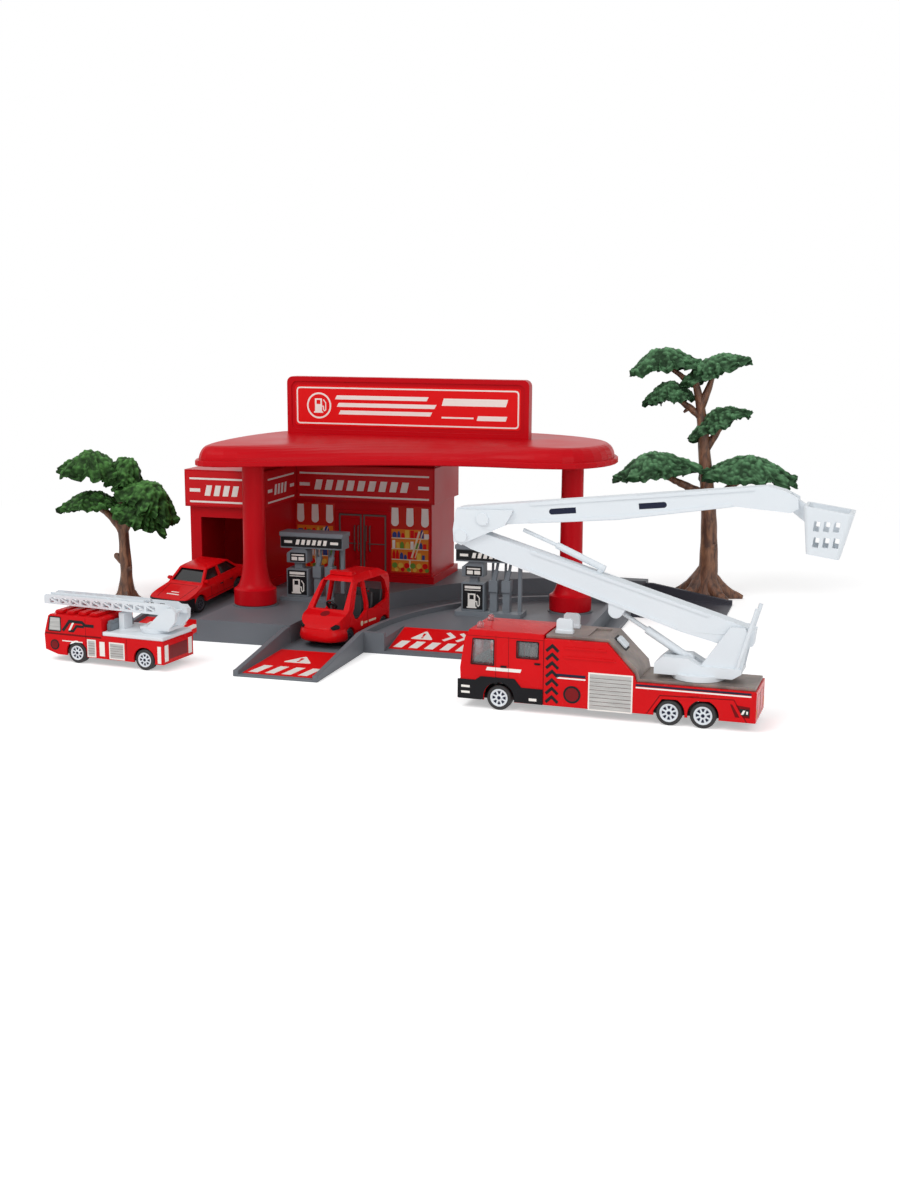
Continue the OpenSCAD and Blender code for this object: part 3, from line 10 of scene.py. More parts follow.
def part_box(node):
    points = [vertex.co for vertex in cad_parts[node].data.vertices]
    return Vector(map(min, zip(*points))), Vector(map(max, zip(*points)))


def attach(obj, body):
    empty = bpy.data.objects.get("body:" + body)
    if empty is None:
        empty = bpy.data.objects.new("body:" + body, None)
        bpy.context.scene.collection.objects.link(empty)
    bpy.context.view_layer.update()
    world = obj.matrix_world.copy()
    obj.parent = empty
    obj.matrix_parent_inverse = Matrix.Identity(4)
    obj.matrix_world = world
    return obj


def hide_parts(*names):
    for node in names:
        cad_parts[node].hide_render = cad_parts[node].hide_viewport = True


MM = 0.001
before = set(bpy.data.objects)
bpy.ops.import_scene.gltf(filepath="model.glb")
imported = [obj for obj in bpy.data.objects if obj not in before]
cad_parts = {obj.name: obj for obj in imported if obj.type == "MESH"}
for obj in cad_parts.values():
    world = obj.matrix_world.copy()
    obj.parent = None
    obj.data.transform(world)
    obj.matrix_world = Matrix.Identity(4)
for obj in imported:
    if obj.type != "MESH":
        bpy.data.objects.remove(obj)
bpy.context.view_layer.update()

X = Vector((1, 0, 0))
Y = Vector((0, 1, 0))
Z = Vector((0, 0, 1))

# Places on the station, as the solids have them
LANE_MID = -8.0
RAMP_FRONT = -150.0
RAMP_LIP, ISLAND_LIP = 1.2, 1.6
RAMP_SLOPE = (2.5 - RAMP_LIP) / 74
ISLAND_SLOPE = (9 - ISLAND_LIP) / 36
GARAGE_SLOPE = (13 - RAMP_LIP) / 95.5
BASE_FRONT = -76.0
BAY_LEFT, BAY_RIGHT = -137.5, -87.0
BAY_FRONT = 22.0
SHOP_FRONT, SHOP_RIGHT = 77.0, 10.0
SHOP_FLOOR, DOOR_MID = 18.0, -38.0
FASCIA_OUT, FASCIA_MID = 2.5, 78.0
ROOF_TOP, CANOPY_UNDER = 90.0, 101.0
PUMPS = ((-43.5, 2, 13), (68, 9, 9))
# From a vehicle's middle to its flanks
BT_HALF, LT_HALF, SD_HALF, CT_HALF = 15.5, 15.0, 14.5, 13.5
# Thickness of the solids' labels, thickness of a print, and the step from one printed layer to the next
LABEL, PRINT, LAYER = 0.3, 0.06, 0.05
# Faces that meet at more than this many degrees keep a sharp edge
SHARP = 32


def place_at(x, y, z, yaw, slope=0.0):
    """Vehicle place: its centre, its heading in degrees and the rise of its ground along Y."""
    turn = Matrix.Rotation(math.atan(slope), 4, "X") @ Matrix.Rotation(math.radians(yaw), 4, "Z")
    return Matrix.Translation((x, y, z)) @ turn


HERE = Matrix.Identity(4)
BOOM_TRUCK = place_at(172, -162, 0, -2.5)
LADDER_TRUCK = place_at(-102.5, -135, 0, -6)
SEDAN = place_at(-117.5, -6, RAMP_LIP + 70 * GARAGE_SLOPE + 0.05, 80, GARAGE_SLOPE)
CART = place_at(-3.5, -50, 2.55, 80)


def sheet(origin, across, up):
    """Flat working plane: its own X runs across, its Y up and its Z out of the face."""
    out = across.cross(up)
    rows = [(across[i], up[i], out[i], origin[i]) for i in range(3)]
    return Matrix(rows + [(0, 0, 0, 1)])


# Finishes


def srgb(code):
    """Linear colour of an sRGB hex value."""
    parts = [int(code[i:i + 2], 16) / 255 for i in (1, 3, 5)]
    return tuple(p / 12.92 if p <= 0.04045 else ((p + 0.055) / 1.055) ** 2.4 for p in parts) + (1.0,)


def per_metre(size):
    """Texture scale at which one feature is that many millimetres across."""
    return 1 / (size * MM)


def fill(tree, node, inputs):
    """Sets a node's inputs to values, or links them to outputs."""
    for key, value in inputs.items():
        if isinstance(value, bpy.types.NodeSocket):
            tree.links.new(value, node.inputs[key])
        else:
            node.inputs[key].default_value = value


def add(tree, kind, inputs, **settings):
    """Adds a node, sets its properties, fills its inputs and gives its outputs."""
    node = tree.nodes.new("ShaderNode" + kind)
    for key, value in settings.items():
        setattr(node, key, value)
    fill(tree, node, inputs)
    return node.outputs


def cloud(tree, spot, size, detail, **more):
    """Noise from 0 to 1, with features of that many millimetres."""
    inputs = {"Vector": spot, "Scale": per_metre(size), "Detail": detail, **more}
    return add(tree, "TexNoise", inputs)["Fac"]


def blend(tree, share, low, high, kind="MIX"):
    """Mix of two colours, each a hex value, a linear colour or an output."""
    low, high = (srgb(colour) if isinstance(colour, str) else colour for colour in (low, high))
    return add(tree, "MixRGB", {"Fac": share, "Color1": low, "Color2": high}, blend_type=kind)["Color"]


def spread(tree, value, start, end, low=0.0, high=1.0):
    """Value taken from the range start to end into the range low to high."""
    inputs = {"Value": value, "From Min": start, "From Max": end, "To Min": low, "To Max": high}
    return add(tree, "MapRange", inputs)["Result"]


def relief(tree, height, strength, depth):
    """Bump of that depth in millimetres."""
    return add(tree, "Bump", {"Height": height, "Strength": strength, "Distance": depth * MM})["Normal"]


def new_finish(name, slot):
    """Empty finish, its node tree, its shader and the place on the object."""
    finish = bpy.data.materials.new(name)
    finish.use_nodes = True
    finish["slot"] = slot
    tree = finish.node_tree
    return finish, tree, tree.nodes["Principled BSDF"], add(tree, "TexCoord", {})["Object"]


def moulded_abs(name, slot, colour, shade, rough):
    """ABS from a fine-grained mould: an even colour, a soft sheen and a faint pebbled grain.
    The real grain is near 0.1 mm; it is drawn at 0.7 mm so that it shows."""
    finish, tree, shader, spot = new_finish(name, slot)
    drift = cloud(tree, spot, 45, 3)
    grain = cloud(tree, spot, 0.7, 2)
    fill(tree, shader, {"Base Color": blend(tree, drift, shade, colour),
                        "Roughness": spread(tree, drift, 0.3, 0.7, rough - 0.05, rough + 0.06),
                        "Normal": relief(tree, grain, 0.35, 0.02), "IOR": 1.53, "Specular IOR Level": 0.08})
    return finish


def enamel(name, slot, colour, shade):
    """Die-cast zinc under sprayed enamel: a wet gloss with a slight orange peel of about 1 mm."""
    finish, tree, shader, spot = new_finish(name, slot)
    drift = cloud(tree, spot, 18, 2)
    peel = cloud(tree, spot, 1.1, 1)
    fill(tree, shader, {"Base Color": blend(tree, drift, shade, colour),
                        "Roughness": spread(tree, drift, 0.3, 0.7, 0.22, 0.3),
                        "Normal": relief(tree, peel, 0.12, 0.02), "IOR": 1.5, "Specular IOR Level": 0.06,
                        "Coat Weight": 0.1, "Coat Roughness": 0.06})
    return finish


def printed_vinyl(name, slot, colour):
    """Ink on a vinyl label: flat colour with the faint mottle of a screen print under a thin clear film."""
    finish, tree, shader, spot = new_finish(name, slot)
    mottle = cloud(tree, spot, 1.6, 3)
    thin = tuple(c * 0.94 for c in srgb(colour)[:3]) + (1.0,)
    fill(tree, shader, {"Base Color": blend(tree, mottle, thin, colour),
                        "Roughness": spread(tree, mottle, 0, 1, 0.36, 0.48), "IOR": 1.5,
                        "Specular IOR Level": 0.15, "Coat Weight": 0.06, "Coat Roughness": 0.2})
    return finish


def soft_pvc(name, slot, colour, shade, rough):
    """Soft PVC of tyres and seats: matt, with a dusty bloom and a grain of about half a millimetre."""
    finish, tree, shader, spot = new_finish(name, slot)
    bloom = cloud(tree, spot, 6, 4)
    grain = cloud(tree, spot, 0.5, 2)
    fill(tree, shader, {"Base Color": blend(tree, bloom, shade, colour), "Roughness": rough, "IOR": 1.52,
                        "Normal": relief(tree, grain, 0.4, 0.04)})
    return finish


def clear_styrene(name, slot, colour, rough, through):
    """Moulded polystyrene glazing: hard and glossy, with a slight ripple from the mould."""
    finish, tree, shader, spot = new_finish(name, slot)
    ripple = cloud(tree, spot, 5, 1)
    fill(tree, shader, {"Base Color": srgb(colour), "Roughness": rough, "IOR": 1.59,
                        "Transmission Weight": through, "Normal": relief(tree, ripple, 0.2, 0.05)})
    return finish


def flake_paint(name, slot, colour, shade):
    """Metallic bed paint: fine aluminium flakes, their glint painted into the colour as a faint random
    speckle, and dull in patches where handling has rubbed it.
    """
    finish, tree, shader, spot = new_finish(name, slot)
    flake_glint = add(tree, "TexVoronoi", {"Vector": spot, "Scale": per_metre(0.5)})["Color"]
    rub = cloud(tree, spot, 9, 5)
    tone = blend(tree, spread(tree, rub, 0.35, 0.65), shade, colour)
    # Painted glint: a faint random speckle of flake colours laid over the base colour.
    fill(tree, shader, {"Base Color": blend(tree, 0.12, tone, flake_glint, "OVERLAY"), "Metallic": 0.55,
                        "Roughness": spread(tree, rub, 0, 1, 0.3, 0.55),
                        "Normal": relief(tree, rub, 0.3, 0.08)})
    return finish


def foil_print(name, slot, colour, shade):
    """Silver foil label with fine printed lines, about 0.3 mm apart and drawn at 0.6 mm."""
    finish, tree, shader, spot = new_finish(name, slot)
    level = add(tree, "Mapping", {"Vector": spot, "Scale": (0.06, 0.06, 1.0)})["Vector"]
    line = spread(tree, cloud(tree, level, 0.6, 4), 0.35, 0.65)
    fill(tree, shader, {"Base Color": blend(tree, line, shade, colour), "Roughness": 0.42,
                        "Metallic": 0.35})
    return finish


def painted_bark(name, slot):
    """PVC tree trunk, brown and darker in its grooves, which run up it every 2 to 3 mm."""
    finish, tree, shader, spot = new_finish(name, slot)
    tall = add(tree, "Mapping", {"Vector": spot, "Scale": (1.0, 1.0, 0.28)})["Vector"]
    groove = cloud(tree, tall, 2.6, 5, Distortion=0.6)
    # Darker where the groove noise is low, which is also where the bump sinks.
    groove_darkening = spread(tree, groove, 0.38, 0.62)
    brown = blend(tree, cloud(tree, spot, 22, 2), "#754A37", "#936849")
    fill(tree, shader, {"Base Color": blend(tree, groove_darkening, "#472C20", brown), "Roughness": 0.5, "IOR": 1.5,
                        "Normal": relief(tree, groove, 0.8, 0.5)})
    return finish


def painted_leaf(name, slot, light, mid, deep):
    """PVC foliage in random patches of deep and mid green, with painted shade darkening the hollows between
    the knobs and a painted highlight lightening what faces up.
    """
    finish, tree, shader, spot = new_finish(name, slot)
    upward = add(tree, "SeparateXYZ", {"Vector": add(tree, "NewGeometry", {})["Normal"]})["Z"]
    patchy = cloud(tree, spot, 2.4, 4)
    # Painted highlight: lighter where the surface faces up, broken up by noise.
    painted_top_light = add(tree, "Math", {0: upward, 1: patchy, 2: 0.18}, operation="MULTIPLY_ADD")["Value"]
    low = blend(tree, cloud(tree, spot, 16, 2), deep, mid)
    tone = blend(tree, spread(tree, painted_top_light, 0.15, 0.8), low, light)
    # Painted shade: darker in the gaps between the knobs, as knobble marks them.
    painted_hollow_shade = add(tree, "Attribute", {}, attribute_name="hollow")["Fac"]
    shaded = blend(tree, spread(tree, painted_hollow_shade, 0.35, 0.75, 0, 0.85), tone, deep)
    fill(tree, shader, {"Base Color": shaded, "Roughness": 0.5, "IOR": 1.5, "Specular IOR Level": 0.1,
                        "Normal": relief(tree, patchy, 0.8, 0.6)})
    return finish


STATION_RED = moulded_abs("moulded_abs_red", "station_red", "#CC0F1B", "#B90B17", rough=0.34)
BASE_GREY = moulded_abs("moulded_abs_grey", "base_grey", "#767A80", "#666A70", rough=0.42)
DARK_GREY = moulded_abs("moulded_abs_dark_grey", "ramp_dark", "#4B4B53", "#3F3F47", rough=0.42)
PUMP_GREY = moulded_abs("moulded_abs_pump_grey", "pump_grey", "#838A91", "#727980", rough=0.4)
BOOM_WHITE = moulded_abs("moulded_abs_white", "boom_white", "#E9EEF2", "#DDE4EA", rough=0.4)
TRIM_BLACK = moulded_abs("moulded_abs_black", "truck_black", "#232326", "#18181A", rough=0.45)
DOOR_TRIM = moulded_abs("moulded_abs_taupe", "pump_grey", "#7A6A66", "#675956", rough=0.4)
TRUCK_RED = enamel("enamel_red", "truck_red", "#DE1118", "#CB0A12")
# Seam red draws panel seams, and also a painted shade line along the boom truck's arch rib.
SEAM_AND_SHADE_RED = enamel("enamel_seam_and_shade_red", "truck_red", "#7E0A10", "#6A070C")
TRUCK_BED = flake_paint("flake_paint_bed", "bed_grey", "#94867F", "#6E625D")
SHUTTER = foil_print("foil_shutter", "bed_grey", "#C2C2BF", "#A9A9A7")
LABEL_RED = printed_vinyl("vinyl_red", "label_red", "#E60D12")
FASCIA_RED = printed_vinyl("vinyl_fascia_red", "label_red", "#D2131C")
LABEL_WHITE = printed_vinyl("vinyl_white", "boom_white", "#F7F4EE")
LABEL_BLACK = printed_vinyl("vinyl_black", "label_black", "#17171A")
LABEL_NAVY = printed_vinyl("vinyl_navy", "label_black", "#1B2036")
# Dark red prints the cap rings and the cart's hood cap, and is also a painted shade on the ladder truck's
# rear face.
LABEL_AND_SHADE_DARK_RED = printed_vinyl("vinyl_dark_red_and_shade", "label_red", "#7C1016")
LABEL_ORANGE = printed_vinyl("vinyl_orange", "label_window", "#E8862B")
LABEL_YELLOW = printed_vinyl("vinyl_yellow", "label_window", "#F0C552")
LABEL_GREEN = printed_vinyl("vinyl_green", "label_window", "#6E9A3E")
LABEL_BLUE = printed_vinyl("vinyl_blue", "label_window", "#3B4F93")
LABEL_CREAM = printed_vinyl("vinyl_cream", "label_window", "#F2DCC0")
LABEL_SHELF = printed_vinyl("vinyl_shelf_red", "label_window", "#CE2A1C")
TYRE = soft_pvc("pvc_tyre", "tyre_black", "#1E1E20", "#121213", rough=0.6)
SEAT = soft_pvc("pvc_seat", "truck_black", "#26272B", "#19191C", rough=0.5)
CLEAR = clear_styrene("styrene_clear", "clear_plastic", "#E4ECEF", 0.06, 0.92)
SMOKED = clear_styrene("styrene_smoked", "dark_glazing", "#1C1F22", 0.07, 0.25)
BARK = painted_bark("painted_pvc_bark", "bark")
# Leaf colours: a light green for the painted highlight, a mid green, and a deep green for random patches
# and for the painted shade in the hollows.
LEAF_LEFT = painted_leaf("painted_pvc_leaf_bright", "leaf", "#6CA85A", "#2A5620", "#0A1A05")
LEAF_RIGHT = painted_leaf("painted_pvc_leaf_blue", "leaf", "#80B886", "#31603A", "#0E210F")


# Outlines: closed lists of points, anticlockwise


def rect(x0, y0, x1, y1):
    """Rectangle between two corners."""
    return [(x0, y0), (x1, y0), (x1, y1), (x0, y1)]


def disc(x, y, radius, count):
    """Circle of that many points."""
    turns = [2 * math.pi * k / count for k in range(count)]
    return [(x + radius * math.cos(a), y + radius * math.sin(a)) for a in turns]


def arc(x, y, radius, start, end, count):
    """Open arc of that many steps, with angles in degrees."""
    turns = [math.radians(start + (end - start) * k / count) for k in range(count + 1)]
    return [(x + radius * math.cos(a), y + radius * math.sin(a)) for a in turns]


def rounded(points, radius):
    """Outline with each corner turned into a curve of four steps."""
    steps = 4
    result = []
    for i, point in enumerate(points):
        corner = Vector(point)
        before = Vector(points[i - 1]) - corner
        after = Vector(points[(i + 1) % len(points)]) - corner
        reach = min(radius / math.tan(before.angle(after) / 2), 0.48 * before.length, 0.48 * after.length)
        start = corner + before.normalized() * reach
        end = corner + after.normalized() * reach
        for k in range(steps + 1):
            t = k / steps
            result.append(tuple(start * (1 - t) ** 2 + corner * 2 * t * (1 - t) + end * t * t))
    return result


def stroke(points, width):
    """Outline of a line drawn with a flat pen."""
    left, right = [], []
    for i, point in enumerate(points):
        here = Vector(point)
        back = here - Vector(points[i - 1]) if i else Vector(points[1]) - here
        ahead = Vector(points[i + 1]) - here if i + 1 < len(points) else back
        way = (back.normalized() + ahead.normalized()).normalized()
        side = Vector((-way.y, way.x)) * (width / 2) / max(way.dot(back.normalized()), 0.4)
        left.append(tuple(here + side))
        right.append(tuple(here - side))
    return right + left[::-1]


def moved(outline, dx, dy, size):
    """Outline scaled by size, then moved."""
    return [(x * size + dx, y * size + dy) for x, y in outline]


def slanted(x, y, width, height, lean):
    """Bar that leans to the right."""
    return [(x, y), (x + width, y), (x + width + lean, y + height), (x + lean, y + height)]


# Meshes


def ring(bm, outline, height, place=HERE):
    """Points of an outline at a height, in the place's own frame."""
    return [bm.verts.new(place @ Vector((x, y, height))) for x, y in outline]


def skin(bm, rings):
    """Walls between closed rings of as many points, with a cap at each end."""
    for one, two in zip(rings, rings[1:]):
        for i in range(len(one)):
            bm.faces.new((one[i - 1], one[i], two[i], two[i - 1]))
    bm.faces.new(rings[0][::-1])
    bm.faces.new(rings[-1])


def plate(bm, outline, low, high, place=HERE):
    """Closed flat plate over an outline, between two heights."""
    skin(bm, [ring(bm, outline, height, place) for height in (low, high)])


def lathe(bm, profile, place, count):
    """Turned solid: profile points are (radius, height) round the place's own Z, closed at both ends."""
    skin(bm, [ring(bm, disc(0, 0, radius, count), height, place) for radius, height in profile])


def band(bm, outer, inner, low, high):
    """Closed frame between two outlines with as many points."""
    rings = [ring(bm, line, height) for line in (outer, inner) for height in (low, high)]
    for i in range(len(outer)):
        for a, b in ((0, 1), (1, 3), (3, 2), (2, 0)):
            bm.faces.new((rings[a][i - 1], rings[a][i], rings[b][i], rings[b][i - 1]))


def block(bm, low, high, soften):
    """Box with softened edges."""
    size = [high[i] - low[i] for i in range(3)]
    middle = [(high[i] + low[i]) / 2 for i in range(3)]
    spot = Matrix.Translation(middle) @ Matrix.Diagonal((*size, 1))
    made = bmesh.ops.create_cube(bm, size=1, matrix=spot)["verts"]
    edges = {e for v in made for e in v.link_edges}
    bmesh.ops.bevel(bm, geom=list(edges), offset=min(soften, min(size) * 0.3), segments=2, affect="EDGES")


def tube(bm, points, radii, count):
    """Round tube through points, with a radius at each and no twist from one to the next."""
    rings = []
    side = None
    for i, point in enumerate(points):
        way = (Vector(points[min(i + 1, len(points) - 1)]) - Vector(points[max(i - 1, 0)])).normalized()
        side = side - way * side.dot(way) if side else way.orthogonal()
        side.normalize()
        across = way.cross(side)
        rings.append([bm.verts.new(Vector(point) + (side * math.cos(a) + across * math.sin(a)) * radii[i])
                      for a in (2 * math.pi * k / count for k in range(count))])
    skin(bm, rings)


def smooth(obj, angle):
    """Smooth shading, sharp where faces meet at more than the angle."""
    obj.data.polygons.foreach_set("use_smooth", [True] * len(obj.data.polygons))
    obj.data.set_sharp_from_angle(angle=math.radians(angle))


def put(name, data):
    """New object in the scene."""
    obj = bpy.data.objects.new(name, data)
    bpy.context.scene.collection.objects.link(obj)
    return obj


def mesh_object(name, bm, place, finish):
    """Object with a finish, made from a mesh in millimetres."""
    bm.transform(Matrix.Scale(MM, 4) @ place)
    bmesh.ops.recalc_face_normals(bm, faces=bm.faces)
    mesh = bpy.data.meshes.new(name)
    bm.to_mesh(mesh)
    bm.free()
    mesh.materials.append(finish)
    return put(name, mesh)


def piece(name, bm, place, body, finish, angle=SHARP):
    """Turns a mesh in millimetres into a piece that rides on a body."""
    obj = mesh_object(name, bm, place, finish)
    smooth(obj, angle)
    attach(obj, body)
    return obj


def print_on(name, place, body, finish, outlines, layer=0, thick=PRINT):
    """Flat printed shapes on a working plane, each layer a little higher than the last."""
    bm = bmesh.new()
    for outline in outlines:
        plate(bm, outline, layer * LAYER, layer * LAYER + thick)
    piece(name, bm, place, body, finish)


def both_sides(name, place, half, body, finish, outlines, layer=0, thick=PRINT):
    """The same side-view shapes on a vehicle's left and right flanks."""
    bm = bmesh.new()
    for side in (-1, 1):
        flank = sheet(Y * side * half, X * -side, Z)
        for outline in outlines:
            turned = outline if side < 0 else [(-x, z) for x, z in outline][::-1]
            plate(bm, turned, layer * LAYER, layer * LAYER + thick, flank)
    piece(name, bm, place, body, finish)


def dress(node, finish, soften):
    """Gives a CAD node its finish and softens its moulded edges by that many millimetres."""
    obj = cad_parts[node]
    obj.data.materials.clear()
    obj.data.materials.append(finish)
    smooth(obj, SHARP)
    if soften:
        weld = obj.modifiers.new("weld", "WELD")
        weld.merge_threshold = 0.002 * MM
        edge = obj.modifiers.new("soft_edges", "BEVEL")
        edge.width = soften * MM
        edge.segments = 2
        edge.limit_method = "ANGLE"
        edge.angle_limit = math.radians(40)
        edge.use_clamp_overlap = True
        edge.miter_outer = "MITER_ARC"
        even = obj.modifiers.new("even_normals", "WEIGHTED_NORMAL")
        even.keep_sharp = True


CARS = ("bt", "lt", "sd", "ct")
PUMP_NODES = [f"pump_{kind}_{k}" for kind in ("frame", "cabinet", "nozzles") for k in (1, 2)]
WHEEL_NODES = ["bt_wheels_middle"] + [f"{car}_wheels_{end}" for car in CARS for end in ("front", "rear")]
BOOM_NODES = ["bt_clips", "bt_turntable", "bt_lower_boom", "bt_upper_boom", "bt_bucket", "bt_lift_barrel",
              "bt_lift_rod", "bt_fold_strut", "lt_deck", "lt_turntable"]
DRESSED = (
    (BASE_GREY, 0.5, ["base_deck", "lane_ramp"]),
    (DARK_GREY, 0.4, ["exit_ramp"]),
    (STATION_RED, 0.5, ["building_walls", "fascia_roof", "column_left", "column_right", "sign_board"]),
    (STATION_RED, 0.25, ["shop_door", "canopy_soffit"]),
    (STATION_RED, 0, ["canopy_shell"]),
    (LABEL_RED, 0, ["sign_label", "ramp_labels"]),
    (FASCIA_RED, 0, ["fascia_labels"]),
    (LABEL_SHELF, 0, ["window_labels"]),
    (LABEL_BLACK, 0, ["pump_labels"]),
    (PUMP_GREY, 0.25, PUMP_NODES),
    (TRIM_BLACK, 0.25, [f"{car}_chassis" for car in CARS]),
    (SEAT, 0.4, ["ct_seats"]),
    (TRUCK_RED, 0.35, ["bt_cab", "bt_body", "lt_body"]),
    (TRUCK_RED, 0.6, ["sd_body", "ct_body"]),
    (CLEAR, 0.1, ["bt_glazing"]),
    (SMOKED, 0.1, ["lt_glazing", "sd_glazing"]),
    (TRUCK_BED, 0.2, ["bt_deck"]),
    (BOOM_WHITE, 0.3, BOOM_NODES),
    (BOOM_WHITE, 0.15, ["lt_ladder"]),
    (TYRE, 0.35, WHEEL_NODES),
)
for coat, softness, names in DRESSED:
    for node_name in names:
        dress(node_name, coat, softness)


# Station prints


def fuel_symbol(x, y, size):
    """The common fuel-pump pictogram, size high: a case round a window, a foot and a hose."""
    unit = size / 10.4
    lines = [rect(-3.6, -4.2, -2.4, 5), rect(0.6, -4.2, 1.8, 5), rect(-2.4, 4, 0.6, 5),
             rect(-2.4, -4.2, 0.6, 1), rect(-4.4, -5.2, 2.6, -4.2)]
    hose = [(1.8, -0.4), (2.8, -0.5), (3.0, -3.0), (3.8, -3.7), (4.6, -3.0), (4.6, 2.0), (2.9, 4.2)]
    return [moved(line, x, y, unit) for line in lines + [stroke(hose, 0.75)]]


def warning_sign(x, y, width):
    """The common warning triangle as a white ground and the mark on it."""
    high = width * 0.88
    ground = rounded([(x - width / 2, y), (x + width / 2, y), (x, y + high)], width * 0.08)
    bar = [(x - width * 0.035, y + high * 0.3), (x + width * 0.035, y + high * 0.3),
           (x + width * 0.06, y + high * 0.66), (x - width * 0.06, y + high * 0.66)]
    return ground, [bar, disc(x, y + high * 0.18, width * 0.055, 12)]


SIGN_LOW, SIGN_HIGH = (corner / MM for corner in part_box("sign_label"))
SIGN_MID = (SIGN_LOW + SIGN_HIGH) / 2
SIGN = sheet((SIGN_MID.x, SIGN_LOW.y, SIGN_MID.z), X, Z)


def dress_sign():
    """Thin frame line, a roundel with the fuel pictogram, and plain bars."""
    wide, tall = (SIGN_HIGH - SIGN_LOW).x / 2 - 1.0, (SIGN_HIGH - SIGN_LOW).z / 2 - 1.1
    bm = bmesh.new()
    outer = rounded(rect(-wide, -tall, wide, tall), 2.6)
    inner = rounded(rect(-wide + 0.9, -tall + 0.9, wide - 0.9, tall - 0.9), 1.8)
    band(bm, outer, inner, 0, PRINT)
    band(bm, disc(-59, 0, 8.4, 40), disc(-59, 0, 7.3, 40), 0, PRINT)
    bars = [slanted(-48 + 1.2 * k, 4.2 - 4.8 * k, length, 2.6, 1.4)
            for k, length in enumerate((62, 66, 62))]
    bars += [slanted(24, 1.6, 42, 4.6, 1.4), rect(24, -6.4, 45, -5.4), slanted(47, -7.4, 19, 3.0, 1.0)]
    for line in fuel_symbol(-58.6, 0, 9.4) + bars:
        plate(bm, line, 0, PRINT)
    piece("sign_print", bm, SIGN, "station", LABEL_WHITE)


def dress_fascia(name, place, length, blocks):
    """Two long white lines, short end bars and a row of leaning blocks."""
    half = length / 2
    end = half - 1.6
    lines = [rect(-end, 5.7, end, 6.9), rect(-end, -9.2, end, -8.0)]
    lines += [rect(-end, -2.3, 9 - half, -0.1), rect(half - 9, -2.3, end, -0.1)]
    pitch = (length - 26) / blocks
    for k in range(blocks):
        lines.append(slanted(-half + 12 + pitch * k, -4.6, pitch * 0.62, 6.8, 1.6))
    print_on(name, place, "station", LABEL_WHITE, lines)


def shop_window(name, left, right, low, high, seed):
    """Window label: a scalloped awning over shelves of plain packs, with a fruit bin below."""
    rng = random.Random(seed)
    place = sheet((left, SHOP_FRONT - LABEL, low), X, Z)
    wide, tall = right - left, high - low
    edge, board = 1.2, 0.7
    shelves = [tall * part for part in (0.2, 0.36, 0.52)]
    print_on(name + "_back", place, "station", LABEL_ORANGE, [rect(edge, edge, wide - edge, tall * 0.66)])
    stripe = (wide - 2) / 5
    awning = []
    for k in range(0, 5, 2):
        x = 1 + stripe * k
        scallop = arc(x + stripe / 2, tall * 0.76, stripe / 2, 180, 360, 8)
        awning.append(scallop + [(x + stripe * 0.94, tall - 1), (x + stripe * 0.06, tall - 1)])
    print_on(name + "_awning", place, "station", LABEL_WHITE, awning, layer=1)
    boards = [rect(edge, shelf, wide - edge, shelf + board) for shelf in shelves]
    boards.append(rect(wide * 0.48, edge, wide * 0.52, shelves[0]))
    print_on(name + "_boards", place, "station", LABEL_CREAM, boards, layer=1)
    inks = {"red": LABEL_RED, "yellow": LABEL_YELLOW, "green": LABEL_GREEN, "blue": LABEL_BLUE,
            "white": LABEL_WHITE}
    packs = {ink: [] for ink in inks}
    for shelf in shelves:
        foot = shelf + board
        x = 1.8
        while x < wide - 4:
            width = rng.uniform(1.7, 3.4)
            height = rng.uniform(3.0, tall * 0.13)
            pack = rect(x, foot, x + width, foot + height)
            if rng.random() < 0.45:
                neck, shoulder = width * 0.3, foot + height * 0.6
                pack = [(x, foot), (x + width, foot), (x + width, shoulder),
                        (x + width - neck, foot + height), (x + neck, foot + height), (x, shoulder)]
            packs[rng.choice(list(inks))].append(pack)
            x += width + rng.uniform(0.3, 0.9)
    for k in range(6):
        x = 3.4 + (wide - 6.8) * k / 5
        packs[("green", "yellow", "red")[k % 3]].append(disc(x, tall * 0.12, 1.9, 14))
        packs[("yellow", "red", "green")[k % 3]].append(disc(x + 1.3, tall * 0.06, 1.4, 14))
    for ink, shapes in packs.items():
        print_on(f"{name}_{ink}", place, "station", inks[ink], shapes, layer=3 if ink == "white" else 2)
    glare = [slanted(wide * part, tall * 0.24, width, tall * 0.4, 5.4)
             for part, width in ((0.52, 1.3), (0.62, 0.6))]
    print_on(name + "_glare", place, "station", LABEL_CREAM, glare, layer=4)


